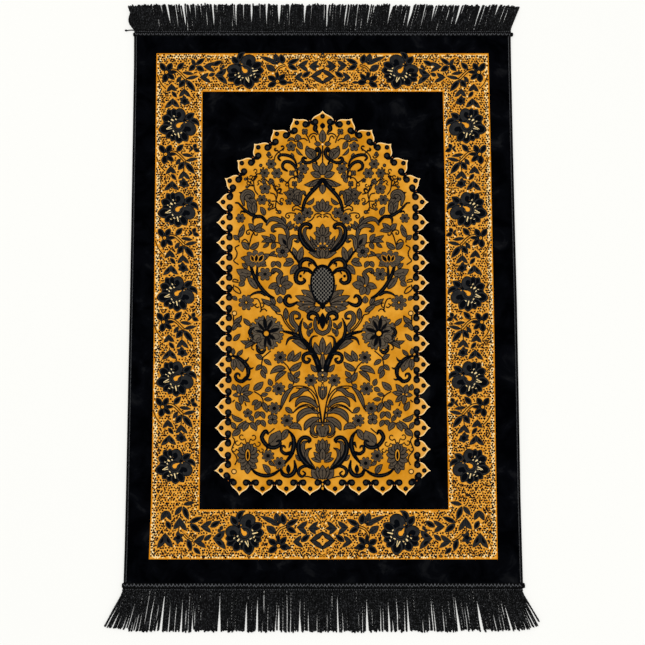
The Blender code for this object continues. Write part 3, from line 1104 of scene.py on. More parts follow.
VASE_CARD = """
thread
335 140, 330 200
520 430, 540 470, 590 450, 570 420
600 590, 570 560, 600 510, 650 490
820 600, 760 650, 720 690, 700 780, 705 850
990 750, 1040 800
1040 800, 1080 880, 1115 950, 1115 1040
960 130, 1000 220, 1060 300, 1120 350
985 125, 1025 215, 1080 290, 1140 340
1480 1540, 1460 1400, 1440 1250, 1370 1130, 1280 1070, 1150 1060, 1080 1090
1450 1540, 1430 1400, 1405 1250, 1345 1150, 1270 1100, 1150 1085
1380 1060, 1430 1200, 1470 1400, 1490 1540
1400 1350, 1300 1300, 1190 1330, 1110 1411
320 1270, 350 1240
600 1130, 680 1180, 720 1250, 700 1330
480 1270, 500 1320
leaf
330 240: 440 145 70 .1
325 340: 410 225 64 -.1
370 250: 440 285 48
560 275: 460 175 60
620 490: 420 465 64 -.1
600 490: 480 575 60 .1
330 470: 425 375 60
330 655: 330 560 54
370 655: 455 580 54 .1
350 680: 450 880 120 -.1
330 700: 340 860 75
715 715: 615 645 60 .05
725 715: 830 790 60 -.05
700 780: 620 855 60
700 790: 775 900 64
690 850: 755 965 60
1040 740: 1115 590 80 .05
1090 735: 1215 605 70 .1
1060 850: 1225 740 80 .1
1020 830: 810 905 80 .15
1030 870: 880 1010 66 .15
1115 1010: 1040 880 75 .05
1115 940: 1200 860 66 .1
1115 1010: 1200 960 60
1110 1040: 1045 1085 64
1290 590: 1090 470 88 .15
1420 880: 1340 775 64
1320 420: 1310 300 54
1300 320: 1245 215 50
1320 310: 1355 225 44
1330 380: 1375 300 44
1020 200: 1015 40 66
1480 650: 1395 480 80 -.1
1497 640: 1497 415 84
1497 860: 1497 600 66
1100 1410: 1010 1340 64
430 1170: 390 1035 84, 545 1030 76, 592 1140 70, 550 1272 70, 440 1305 70, 320 1180 60
350 1120: 325 1030 64
420 1390: 360 1260 74 .05
590 1110: 725 1000 84 .05
690 1180: 790 1160 54
730 1230: 845 1235 54
655 1240: 570 1310 60
700 1260: 610 1380 75 .05
710 1270: 775 1410 70 -.05
830 1060: 795 960 64
830 1080: 740 1130 64
540 1440: 600 1525 60
680 1395: 620 1490 70 .1, 735 1490 64 -.1
825 1420: 860 1500 64
460 1500: 310 1420 64 -.2
solid
1497 320: 1497 100 80
scroll
1140 370 30, 1160 300 62, 1100 220 72, 1090 140 60, 1130 98 50, 1190 120 42, 1192 172 34, 1148 180 22
1405 170 30, 1398 250 48, 1425 335 56, 1490 372 60
1110 1080 18, 1040 1140 58, 990 1230 64, 950 1360 22
1310 1110 26, 1240 1108 66, 1175 1165 66, 1110 1190 58, 1065 1262 18
1425 1330 36, 1350 1258 74, 1250 1228 82, 1180 1258 68, 1145 1325 20
1435 1410 36, 1350 1378 80, 1260 1398 90, 1200 1450 84, 1170 1520 30
1450 1480 30, 1380 1500 80, 1300 1560 88, 1265 1625 34
vine
320 665 24, 400 690 36, 470 750 44, 520 820 48, 527 900 42, 500 975 28
470 740 30, 510 722 22, 532 688 10
520 812 30, 560 832 22, 592 820 10
500 960 28, 540 976 20, 568 965 10
500 950 40, 450 996 42, 390 986 38, 358 940 34, 374 898 28, 410 904 22, 416 932 14
1470 900 60, 1440 780 62, 1390 660 60, 1320 550 56, 1230 450 50, 1130 380 40, 990 345 24
1310 540 40, 1230 440 38, 1200 330 36, 1213 240 26, 1240 175 10
1370 620 40, 1340 540 36, 1345 450 26, 1380 410 18, 1430 405 10
1200 440 30, 1110 425 36, 1050 450 28, 1020 520 12
1410 690 30, 1370 640 40, 1310 628 40, 1250 658 38, 1248 728 36, 1300 752 34, 1332 712 28, 1297 692 14
1362 197 18, 1315 177 34, 1318 125 44, 1370 102 44, 1425 130 40, 1445 200 32, 1440 250 14
fan
1497 1250 16 70 240 200
flower
945 685 86 8 26 / 925 1095 90 8 26 / 865 1350 86 8 26 / 1032 1510 86 8 26 / 520 1415 64 5
1497 935 82 4 20 / 1345 985 86 8 26
ring
1497 1000 16
gem
1497 915 14 / 1497 630 13 / 1497 1050 13 / 1497 1100 12 / 400 1170 13 / 445 1165 13
cream
1497 852 12
"""

URN_CARD = """
thread
375 370, 330 470
1105 170, 1200 100, 1300 80, 1400 150
800 430, 870 370
320 480, 350 540, 310 650, 360 720, 380 780, 350 850
1270 1000, 1310 1000, 1360 1015, 1400 1005
1330 400, 1350 460, 1400 490, 1440 480
curl
505 580 445 480 44 1 / 535 580 592 485 44 -1 / 480 600 388 555 42 1 / 565 600 655 570 42 -1
430 690 335 640 36 1 / 610 690 700 655 34 -1
leaf
375 370: 500 265 70 .1
360 380: 305 285 64
430 390: 315 475 80 .05
540 300: 465 415 80 .15, 630 410 80 -.15
685 265: 630 345 64 .1, 745 355 64 -.1
1010 95: 1105 175 64
1060 370: 1225 400 84 -.3
1040 380: 960 530 84
790 580: 940 395 150 .1
790 800: 870 860 54
520 840: 515 970 86
500 830: 430 915 76
545 830: 640 895 76
521 780: 521 912 92
500 770: 430 872 86
540 770: 612 872 86
505 745: 385 812 92
537 745: 657 812 92
505 725: 372 710 92
537 725: 670 710 92
505 700: 398 622 92
537 700: 644 622 92
510 690: 466 570 88
532 690: 576 570 88
521 700: 521 545 84
800 970: 710 840 75 .1
1210 800: 1140 710 50
1497 680: 1400 640 60, 1400 568 70, 1440 518 74, 1497 500 84
1497 800: 1345 762 66, 1378 678 74, 1497 625 84
1440 1040: 1350 900 108 .05
1480 1040: 1420 865 80
1497 1045: 1497 845 96
1490 490: 1440 300 106
solid
1050 968: 1050 840 54
scroll
1390 880 20, 1290 760 58, 1240 650 62, 1250 562 50, 1302 540 22
1345 845 30, 1288 740 52, 1298 660 48, 1352 628 16
1480 310 36, 1400 308 52, 1358 370 56, 1380 440 46, 1430 452 34, 1425 402 16
vine
1045 390 14, 1110 480 40, 1122 590 50, 1085 720 42, 1005 825 24
1082 560 30, 1070 590 22, 1058 622 10
1080 690 40, 1010 702 38, 958 660 34, 965 608 30, 1000 604 22, 1012 640 12
785 440 24, 760 408 40, 728 430 44, 703 490 44, 738 560 44, 800 612 44, 880 622 40, 942 580 36, 932 530 28, 895 545 16
775 600 26, 768 655 14
570 900 22, 640 960 36, 750 990 40, 850 970 36, 945 908 20
950 905 28, 983 970 44, 1050 992 44, 1112 960 48, 1142 890 40, 1130 795 18
1318 552 24, 1332 520 40, 1288 490 44, 1228 500 42, 1183 570 44, 1188 680 50, 1238 782 52, 1320 862 48, 1395 902 22
1335 872 24, 1260 864 34, 1195 900 36, 1184 960 34, 1230 1002 28, 1272 962 22, 1240 930 14
flower
845 255 76 4 / 785 730 86 8 26 / 935 825 86 8 26
ring
340 935 30
gem
1010 640 10 / 1497 800 22 / 1430 832 15
"""


@dataclass
class Niche:
    """The arched gold field with its lobed edge and its flowered vine.

    The tips and valleys of the edge are counted in pixels of the photograph, down the left half.
    """

    tips: tuple[complex, ...] = (
        322.6 + 110.8j, 293.3 + 118.5j, 273.1 + 129.8j, 254 + 143.8j, 237.1 + 160.2j, 224.7 + 178.4j,
        216.6 + 202.2j, 216.4 + 222.5j, 216.3 + 242.6j, 216.1 + 262.8j, 216 + 282.9j, 215.9 + 302.8j,
        215.8 + 323.3j, 215.6 + 343.8j, 215.4 + 364.5j, 215.2 + 385.6j, 215 + 406.9j, 214.8 + 427.9j,
        214.6 + 449.2j, 214.4 + 470.7j, 239.3 + 495.2j, 262.4 + 495.2j, 286.3 + 495.2j, 309.8 + 495.2j,
    )
    valleys: tuple[complex, ...] = (
        309.8 + 121.0j, 289.2 + 131.1j, 270.2 + 142.9j, 253.1 + 157.6j, 239.4 + 174.3j, 229.2 + 191.6j,
        227.4 + 212.3j, 227.3 + 232.5j, 227.2 + 252.7j, 227 + 272.8j, 226.9 + 292.7j, 226.7 + 313.1j,
        226.6 + 333.4j, 226.5 + 354.1j, 226.3 + 375j, 226.1 + 396.2j, 225.9 + 417.4j, 225.8 + 438.5j,
        225.7 + 460j, 228.5 + 480.6j, 250.9 + 484.9j, 274.4 + 484.9j, 298.3 + 484.9j, 322.6 + 484.9j,
    )
    lobe: tuple[complex, ...] = (0j, 0.16 + 0.20j, 0.35 + 0.33j, 0.54 + 0.44j, 0.74 + 0.56j, 0.92 + 0.76j, 1 + 1j)
    mouth_px: float = 1.7
    notch_px: float = 1.5
    squares_per_px: float = 13.0667
    axis: float = 1497.0
    rim_px: tuple[float, float] = (0.70, 1.15)
    chart: Chart = Chart(0, 0, 1)

    def _half(self, valley: complex, other: complex, tip: complex) -> np.ndarray:
        """Outlines one side of a lobe, from its tip to its valley.

        Args:
            valley: the valley on this side.
            other: the valley on its other side.
            tip: its tip.

        Returns:
            The points from the tip to where the lobe ends.
        """
        along = (valley - other) / abs(valley - other)
        out = 1j * along if ((tip - valley) / along).imag > 0 else -1j * along
        reach = ((valley - tip) / along).real - self.mouth_px
        depth = -((valley - tip) / out).real
        stops = np.array(self.lobe)
        rows = np.column_stack([stops.real * reach, stops.imag * depth])
        curve = smooth_path(rows, 3)
        return tip + along * curve[:, 0] - out * curve[:, 1]

    def edge(self) -> np.ndarray:
        """Outlines the whole niche, with its lobes and the notches between them.

        Returns:
            The outline, in pixels of the photograph.
        """
        left: list[np.ndarray] = []
        for k, tip in enumerate(self.tips):
            after = self.valleys[k]
            before = self.valleys[k - 1] if k else (2 * VIEW.middle_px - after.real) + 1j * after.imag
            if k:
                left.append(self._half(before, after, tip)[::-1][:-1])
            left.append(self._half(after, before, tip))
            inward = self._inward(k)
            left.append(np.array([after + inward * self.notch_px]))
        half = np.concatenate(left)
        half = half[:-1] if abs(half[-1].real - VIEW.middle_px) < 0.3 else half
        other = (2 * VIEW.middle_px - half[1:].real) + 1j * half[1:].imag
        return np.concatenate([half, [VIEW.middle_px + 1j * (self.valleys[-1].imag - self.notch_px)], other[::-1]])

    def _inward(self, k: int) -> complex:
        """Finds the way into the niche at a valley.

        Args:
            k: the valley's number.

        Returns:
            A step of one pixel.
        """
        tip = self.tips[k]
        after = self.tips[k + 1] if k + 1 < len(self.tips) else (2 * VIEW.middle_px - tip.real) + 1j * tip.imag
        along = (after - tip) / abs(after - tip)
        return -1j * along

    def draw(self, art: Artwork) -> None:
        """Draws the niche: its field, its edge and its flowers.

        Args:
            art: the drawing to add to.
        """
        art.on(self.chart, 0.5)
        edge = self.edge()
        # The cream rim and the pale band inside it are a painted highlight along the niche's raised edge.
        art.patch(Ink.RIM, edge, once=True)
        for inset, ink in zip(self.rim_px, (Ink.PALE, Ink.GOLD)):
            art.patch(ink, self._drawn_in(edge, inset), once=True)
        self._volutes(art)
        for top, card in ((105, ARCH_CARD), (205, HEART_CARD), (305, VASE_CARD), (400, URN_CARD)):
            art.on(Chart(208, top, self.squares_per_px), 11.5)
            if top == 305:
                self._great_flower(art)
            Card(card, self.axis).draw(art)
            if top == 205:
                self._cone(art)
            if top == 400:
                self._thistle_heart(art)

    def _drawn_in(self, edge: np.ndarray, inset: float) -> np.ndarray:
        """Moves the edge inwards by the same width all round.

        Args:
            edge: the outline.
            inset: how far, in pixels.

        Returns:
            The inner outline, without the points that would cross over.
        """
        before, after = edge - np.roll(edge, 1), np.roll(edge, -1) - edge
        way = before / np.abs(before) + after / np.abs(after)
        way /= np.abs(way)
        signed = np.sum((edge.conjugate() * np.roll(edge, -1)).imag)
        inward = 1j * way * np.sign(signed)
        sharp = np.clip(1 / np.maximum(np.abs((before / np.abs(before) + after / np.abs(after)) / 2), 0.35), 1, 2.2)
        return edge + inward * inset * sharp

    def _volutes(self, art: Artwork) -> None:
        """Draws the two curls at each valley and the spot in each lobe.

        Args:
            art: the drawing.
        """
        for k, valley in enumerate(self.valleys):
            on_axis = abs(valley.real - VIEW.middle_px) < 0.5
            inward = self._inward(k)
            along = 1j * inward
            art.patch(Ink.BLACK, oval(valley + inward * 0.9, 2.0, 2.0, 10), on_axis)
            for side in (along,) if on_axis else (along, -along):
                disc = valley + side * 4.9 + inward * 2.3
                tail = np.array((
                    disc + inward * 2.2 - side * 0.4, disc + inward * 1.3 - side * 2.4,
                    valley + inward * 0.9 + side * 0.6,
                ))
                art.stroke(Ink.BLACK, np.column_stack([tail.real, tail.imag, (2.1, 3.0, 3.2)]))
                art.patch(Ink.BLACK, oval(disc, 3.4, 3.4, 14))
                # The grey centre, off to one side of the black disc, is a painted highlight.
                art.patch(Ink.CORE, oval(disc + side * 0.3, 1.7, 1.7, 10))
            art.patch(Ink.RUST, oval(valley - inward * 0.15, 0.62, 0.62, 8), on_axis)
        for k, tip in enumerate(self.tips):
            inward = self._lobe_inward(k)
            spot = tip + inward * (6.5 if k > 5 else 5.6)
            art.patch(Ink.BLACK, oval(spot, 2.4, 2.4, 12), k == 0)
            # The grey centre of the black spot is a painted highlight.
            art.patch(Ink.CORE, oval(spot, 0.85, 0.85, 8), k == 0)
        art.patch(Ink.GOLD, oval(VIEW.middle_px + 484.3j, 0.9, 1.5, 8), True)
        art.patch(Ink.GOLD, oval(VIEW.middle_px + 488.2j, 1.1, 1.6, 8), True)

    def _lobe_inward(self, k: int) -> complex:
        """Finds the way from a tip to the middle of its lobe's mouth.

        Args:
            k: the tip's number.

        Returns:
            A step of one pixel.
        """
        if k == 0:
            return 1j
        middle = (self.valleys[k - 1] + self.valleys[k]) / 2
        return (middle - self.tips[k]) / abs(middle - self.tips[k])

    def _cone(self, art: Artwork) -> None:
        """Draws the netted fruit on the middle line.

        Args:
            art: the drawing.
        """
        centre, wide, high = self.axis + 1046j, 164.0, 270.0
        around = np.arange(28) * 2 * math.pi / 28
        outline = centre + wide * np.cos(around) * (1 - 0.10 * np.sin(around)) + 1j * high * np.sin(around)
        art.patch(Ink.BLACK, outline, True)
        art.patch(Ink.SEED, centre + (outline - centre) * 0.84, True)
        for row in range(-10, 11):
            for col in range(-7, 8):
                spot = 23 * col + 26j * row
                if (row + col) % 2 == 0 and (spot.real / wide) ** 2 + (spot.imag / high) ** 2 < 0.80:
                    art.patch(Ink.BLACK, centre + spot + np.array((-19.8, -22.4j, 19.8, 22.4j)), True)
        art.leaf(self.axis + 1268j, self.axis + 1368j, 70, kind=LeafKind.SOLID, once=True)

    def _great_flower(self, art: Artwork) -> None:
        """Draws the large pale flower with its black stamens.

        Args:
            art: the drawing.
        """
        centre = 760 + 365j
        for radius, ink in ((0, Ink.LINE), (9, Ink.FRILL), (34, Ink.LINE), (42, Ink.FRILL)):
            for k in range(8):
                way = np.exp(1j * math.radians(45 * k + 20))
                art.patch(ink, centre + way * oval(132, 88 - radius, 74 - radius * 0.9, 14))
                for aside in (-0.24, 0.0, 0.24):
                    if radius < 20:
                        art.patch(ink, centre + way * oval(207 * np.exp(1j * aside), 27 - radius, 24 - radius, 8))
        for tip, wide in (
            (735 + 150j, 50), (838 + 196j, 42), (940 + 305j, 52), (885 + 455j, 48),
            (828 + 555j, 46), (740 + 570j, 36), (645 + 225j, 38), (612 + 330j, 34),
        ):
            art.leaf(centre + (tip - centre) * 0.12, tip, wide, kind=LeafKind.SOLID)
        art.vine(np.array(((600, 300, 20), (560, 320, 34), (548, 370, 40), (590, 412, 22))))
        art.vine(np.array(((640, 535, 20), (650, 590, 36), (700, 622, 40), (748, 590, 22))))
        art.leaf(700 + 440j, 625 + 480j, 64)
        art.disc(Ink.BLACK, centre + 2 + 8j, 56, 12)
        art.disc(Ink.GOLD, centre + 2 + 8j, 33, 10)

    def _thistle_heart(self, art: Artwork) -> None:
        """Draws the slit heart of the side thistle.

        Args:
            art: the drawing.
        """
        art.patch(Ink.LINE, oval(520 + 720j, 44, 92, 14))
        art.patch(Ink.GOLD, oval(520 + 720j, 30, 76, 14))
        art.patch(Ink.BLACK, oval(520 + 725j, 16, 56, 12))


# ---------------------------------------------------------------- the border


@dataclass(frozen=True)
class FaceChart(Chart):
    """A grid of millimetres on the rug's face, counted from its middle, with Y up the rug."""

    left: float = 0.0
    top: float = 0.0
    zoom: float = 1.0

    def on_rug(self, outline: np.ndarray) -> np.ndarray:
        """Takes millimetres, X + 1j * Y, to metres."""
        return outline * MM


SIDE_SPRAY_CARD = """
thread
846 800, 838 880, 826 975
180 650, 230 790, 300 900, 385 985
stem
440 548, 540 530, 640 550, 740 625, 800 690, 858 745
dark
784 590: 1066 632 68
880 745: 1180 678 70
752 690: 636 844 76
cored
655 525: 826 350 104
862 770: 1098 1055 112
846 765: 693 962 112
527 1052: 655 1200 76
vee
824 975 705 1166 976 1174 / 519 862 404 1050 645 1034 / 519 935 440 1045 600 1035
553 1212 368 1438 705 1425 1
"""

STAR_CARD = """
dark
840 1290: 812 1140 82, 712 1210 78, 715 1330 70, 834 1396 84, 968 1338 84, 926 1226 70
ball
840 1285 50
"""

THREE_LEAF_CARD = """
cored
1050 1290: 1120 1175 84
1050 1300: 1210 1368 84
vee
1050 1300 962 1215 945 1375
"""

CORNER_GARLAND_CARD = """
thread
950 250, 1040 300, 1085 400
dark
1090 420: 1002 262 76
1420 675: 1572 612 76
cored
1100 398: 935 556 106
1095 410: 1330 245 88
1110 440: 1320 562 112
vee
1284 450 1530 348 1550 572 / 1194 711 1400 608 1460 836
"""

NEAR_CORNER_CARD = """
thread
765 420, 760 580, 735 760
stem
870 840, 960 930, 1060 980
dark
440 250: 310 500 104, 555 490 104
730 900: 720 745 84, 600 962 80, 712 1075 90, 852 1012 80, 850 820 76
820 150: 640 375 96
850 110: 1140 50 84
1350 980: 1540 830 90
cored
440 500: 550 715 104
850 150: 980 482 112
990 550: 1330 400 96
1010 570: 1270 785 118
960 930: 1045 1240 110
1100 1150: 1270 1310 90
vee
415 785 228 1145 592 1130 1 / 765 415 618 695 932 732 / 1260 640 1532 498 1512 782
1098 1000 1352 848 1387 1147
ball
730 900 52
"""

END_SPRAY_CARD = """
stem
1330 690, 1332 610, 1390 535, 1485 492
dark
285 560: 320 470 56
285 540: 235 590 56
1310 620: 1130 475 110
1370 470: 1160 360 76
1370 450: 1010 290 78
1340 400: 1310 230 90
1370 450: 1395 310 62
cored
95 500: 285 385 84
1460 460: 1420 240 110
vee
140 708 357 563 372 902 1
"""

END_MIDDLE_CARD = """
thread
610 345, 650 385, 672 425
600 250, 640 300, 655 345
500 300, 540 345, 560 380
590 905, 620 950
500 930, 540 975, 590 1010
dark
440 525: 648 523 70
693 352: 693 212 60
0 880: 130 884 50
cored
8 478: 252 352 84
20 500: 212 606 90
293 771: 462 637 86
vee
216 503 404 394 402 638 / 423 525 605 398 562 630 / 142 775 294 660 328 874
ball
693 392 16 / 562 964 22 / 665 1023 26
gem
693 285 17 / 562 964 12 / 665 1023 16
"""

# A flower and a rosette, counted from the middle of their hearts
BORDER_FLOWER_CARD = """
petal
-12 -10: -146 -226 134
12 -12: 138 -226 134
16 0: 268 -8 84
10 14: 200 178 114
-10 10: -36 246 146
ball
0 0 60
heart
0 0 38
ball
0 0 10
"""

ROSETTE_CARD = """
cored
176 -130: 396 -300 140 -.05
232 -100: 500 30 112 -.28
ball
-70 40 262 / 30 -30 190 / 34 -262 76
petal
-120 -160: -262 -398 160
-80 -170: -122 -424 160
-130 -110: -398 -214 200
-160 -30: -372 -62 130
-110 50: -482 110 244
-90 110: -304 308 170
-50 130: -172 382 160
10 130: 17 440 210
60 110: 218 390 190
band
-50 -120 60, 40 -140 84, 112 -205 92, 112 -300 88, 50 -368 80, -30 -345 62, -42 -300 30
stroke
-30 -300 16, 20 -276 30, 46 -230 30, 20 -180 12
ball
262 92 110
band
40 60 70, 110 -20 112, 210 -40 120, 318 0 116, 366 96 112, 320 176 104, 238 180 70, 198 142 30
stroke
120 120 30, 168 132 64, 196 96 44, 240 78 20
coal
0 -4 160
ball
0 -4 122
coal
0 -2 104
heart
0 0 54
drop
16 -30 124 -78
gem
181 -78 17
fleck
-110 -236 -94 -214 27 / -68 -156 -50 -146 32 / -158 -146 -126 -122 42 / -242 -104 -216 -100 22
-182 -70 -168 -46 28 / -176 16 -290 82 27 / -162 70 -262 90 20 / -124 122 -106 152 28
-90 200 -62 222 28 / -168 228 -140 240 22 / -4 184 20 286 32 / 62 178 80 164 30
"""


@dataclass(frozen=True)
class Spread:
    """How small marks are spread, in millimetres: their spacing, how far each may stray, and its room."""

    every: float
    stray: float
    room: float


@dataclass
class Border:
    """The stippled gold band round the field, with its rosettes, flowers and sprays.

    Each row of an edge holds a height up the rug and where the edge lies left and right of the
    rug's middle line there, in millimetres. Hearts are where they show in the photograph.
    """

    outer: tuple[tuple[float, float, float], ...] = (
        (464.2, -308.8, 308.3), (300, -307.5, 309.1), (100, -306.0, 309.3), (0, -304.8, 309.5),
        (-100, -304.1, 309.3), (-260, -303.5, 308.2), (-360, -303.6, 308.2), (-457.2, -305.8, 308.1),
    )
    inner: tuple[tuple[float, float, float], ...] = (
        (391.0, -222.4, 222.6), (186, -221.0, 223.9), (0, -219.1, 223.6), (-160, -218.2, 222.4),
        (-370.9, -218.1, 222.7),
    )
    edge_mm: float = 1.95
    spot_mm: float = 1.85
    flecks: Spread = Spread(3.4, 0.6, 1.4)
    rust: Spread = Spread(13.0, 5.0, 1.5)
    threads: Spread = Spread(6.2, 3.4, 0.9)
    spots: Spread = Spread(4.75, 1.1, 1.9)
    squares_per_px: float = 24.123
    flowers_px: tuple[complex, ...] = (166.4 + 72.3j, 165.6 + 154.3j, 164.6 + 238j, 163.5 + 322j, 162.5 + 407j)
    rosettes_px: tuple[complex, ...] = (
        178.4 + 125.7j, 177.5 + 209.5j, 176.6 + 293.7j, 175.7 + 378.7j, 174.7 + 466.2j,
    )
    seed: int = 20

    def draw(self, art: Artwork) -> None:
        """Draws the border.

        Args:
            art: the drawing to add to.
        """
        art.on(FaceChart(), 1.0)
        art.mirrored = False
        for ink, rows, out in (
            (Ink.EDGE, self.outer, 0), (Ink.GROUND, self.outer, -1),
            (Ink.EDGE, self.inner, 1), (Ink.CLEAR, self.inner, 0),
        ):
            art.patch(ink, self._outline(rows, out * self.edge_mm))
        art.mirrored = True
        plain = len(art.patches)
        self._sides(art)
        self._end(art, False)
        self._end(art, True)
        leaves = [outline / MM for _, outline in art.patches[plain:]]
        art.on(FaceChart(), 1.0)
        art.mirrored = False
        self._stipple(art, leaves)
        art.mirrored = True

    def _outline(self, rows: tuple[tuple[float, float, float], ...], out: float) -> np.ndarray:
        """Outlines one edge of the band, moved outwards by so many millimetres.

        Args:
            rows: the edge.
            out: how far.

        Returns:
            The outline, in millimetres.
        """
        up, left, right = np.array(rows).T
        up[0] += out * 0.6
        up[-1] -= out * 0.6
        return np.concatenate([left - out + 1j * up, (right + out + 1j * up)[::-1]])

    def _depth(self, rows: tuple[tuple[float, float, float], ...], spots: np.ndarray) -> np.ndarray:
        """Finds how deep points lie inside one edge, or outside it if less than zero.

        Args:
            rows: the edge.
            spots: points in millimetres.

        Returns:
            The depth of each point.
        """
        up, left, right = np.array(rows[::-1]).T
        return np.minimum.reduce([
            spots.real - np.interp(spots.imag, up, left), np.interp(spots.imag, up, right) - spots.real,
            up[-1] - spots.imag, spots.imag - up[0],
        ])

    def _free(self, spots: np.ndarray, room: float, leaves: list[np.ndarray]) -> np.ndarray:
        """Finds which points lie on the band's ground, so far from its edges and from every leaf.

        Args:
            spots: points in millimetres.
            room: how far.
            leaves: the outlines of what is drawn there.

        Returns:
            True for each point that does.
        """
        free = self._depth(self.outer, spots) > self.edge_mm + 0.4
        free &= self._depth(self.inner, spots) < -self.edge_mm - 0.3
        around = room * np.exp(1j * np.arange(6) * math.pi / 3)
        for outline in leaves:
            box = outline.real.min(), outline.real.max(), outline.imag.min(), outline.imag.max()
            near = np.flatnonzero(
                free & (spots.real > box[0] - room) & (spots.real < box[1] + room)
                & (spots.imag > box[2] - room) & (spots.imag < box[3] + room)
            )
            if len(near):
                round_it = (spots[near][:, None] + around).ravel()
                hit = np.zeros(len(round_it), dtype=bool)
                hit[inside(round_it, outline)] = True
                free[near[hit.reshape(-1, 6).any(axis=1)]] = False
        return free

    def _scatter(self, chance: np.random.Generator, spread: Spread) -> np.ndarray:
        """Spreads points over the band, on a shaken grid.

        Args:
            chance: the random numbers.
            spread: their spacing, and how far each may stray.

        Returns:
            The points.
        """
        every, stray = spread.every, spread.stray
        across = np.arange(-312, 312, every)
        up = np.arange(-460, 470, every * 0.92)
        x, y = np.meshgrid(across, up)
        x = x + (np.arange(len(up)) % 2)[:, None] * every / 2
        spots = (x + 1j * y).ravel()
        return spots + chance.uniform(-stray, stray, len(spots)) + 1j * chance.uniform(-stray, stray, len(spots))

    def _stipple(self, art: Artwork, leaves: list[np.ndarray]) -> None:
        """Draws the cream and rust flecks, the dark spots and the broken dark threads.

        Args:
            art: the drawing.
            leaves: outlines of what the spots must keep clear of.
        """
        chance = np.random.default_rng(self.seed)
        flecks = self._scatter(chance, self.flecks)
        flecks = flecks[self._free(flecks, self.flecks.room, leaves)]
        # Cream flecks crowd both edges of the band, less so at its ends
        depth, clear = self._depth(self.outer, flecks), -self._depth(self.inner, flecks)
        at_end = np.select([flecks.imag > 380, flecks.imag < -362], [0.7, 0.5], 1.0)
        outer = (depth < 8.2) * np.where((flecks.imag > 455) | (flecks.imag < -448), at_end, 1.0)
        inner = (clear < 7.6) * np.where(np.abs(flecks.real) < 224, at_end * 0.5, 0.75)
        keep = chance.uniform(0, 1, len(flecks)) < 0.035 + 0.95 * outer + inner
        for spot in flecks[keep]:
            wide, high, turn = chance.uniform(1.0, 1.65), chance.uniform(1.5, 2.6), chance.uniform(50, 130)
            art.patch(Ink.SPECK, self._blob(chance, spot, high, wide, turn, 6))
        rust = self._scatter(chance, self.rust)
        for spot in rust[self._free(rust, self.rust.room, leaves)]:
            wide, high, turn = chance.uniform(0.9, 2.0), chance.uniform(0.6, 1.1), chance.uniform(0, 180)
            art.patch(Ink.RUST, self._blob(chance, spot, wide, high, turn, 6))
        starts = self._scatter(chance, self.threads)
        count = len(starts)
        turns = chance.uniform(0, 2 * math.pi, (count, 1)) + np.cumsum(chance.uniform(-1.2, 1.2, (count, 4)), axis=1)
        steps = np.cumsum(np.exp(1j * turns) * chance.uniform(1.0, 1.9, (count, 1)), axis=1)
        lines = starts[:, None] + np.concatenate([np.zeros((count, 1)), steps], axis=1)
        patchy = np.sin(starts.real / 11.0 + 0.4) * np.sin(starts.imag / 13.0) + chance.uniform(-0.5, 0.5, count)
        free = self._free(lines.ravel(), self.threads.room, leaves).reshape(-1, 5).all(axis=1)
        lines = lines[(patchy > -0.2) & free]
        for line in lines:
            art.patch(Ink.DOT, ribbon(line, np.full(5, chance.uniform(0.75, 1.05)), False))
        spots = self._scatter(chance, self.spots)
        for spot in spots[self._free(spots, self.spots.room, leaves)]:
            wide = self.spot_mm * chance.uniform(0.82, 1.10)
            high, turn = wide * chance.uniform(0.86, 1.08), chance.uniform(0, 180)
            art.patch(Ink.DOT, self._blob(chance, spot, wide, high, turn, 7))

    def _blob(
        self, chance: np.random.Generator, centre: complex, wide: float, high: float, turn: float, sides: int,
    ) -> np.ndarray:
        """Outlines an uneven spot."""
        around = (np.arange(sides) + chance.uniform(-0.25, 0.25, sides)) * 2 * math.pi / sides
        return centre + (wide * np.cos(around) + 1j * high * np.sin(around)) * np.exp(1j * math.radians(turn))

    def _moved(self, chart: Chart, anchor: complex, to: complex) -> Chart:
        """Places a chart so that what shows at one pixel comes to where another pixel shows."""
        move = VIEW.rug_points(np.array([to]))[0] - VIEW.rug_points(np.array([anchor]))[0]
        return Chart(chart.left, chart.top, chart.zoom, chart.zoom_down, move)

    def _sides(self, art: Artwork) -> None:
        """Draws the flowers, rosettes and sprays down both sides.

        Args:
            art: the drawing.
        """
        first = Chart(150, 48, self.squares_per_px)
        rosette = Chart(150, 95, self.squares_per_px)
        for k, flower in enumerate(self.flowers_px):
            art.on(self._moved(first, self.flowers_px[0], flower), 11)
            Card(SIDE_SPRAY_CARD).draw(art)
            Card(STAR_CARD).draw(art)
            if k == 0:
                Card(CORNER_GARLAND_CARD).draw(art)
            else:
                art.on(self._moved(rosette, self.rosettes_px[0], self.rosettes_px[k - 1]))
                Card(THREE_LEAF_CARD).draw(art)
            art.on(Chart(flower.real, flower.imag, self.squares_per_px))
            Card(BORDER_FLOWER_CARD).draw(art)
        for heart in self.rosettes_px:
            art.on(Chart(heart.real, heart.imag, self.squares_per_px))
            Card(ROSETTE_CARD).draw(art)
        art.on(Chart(148, 500, self.squares_per_px))
        Card(NEAR_CORNER_CARD).draw(art)

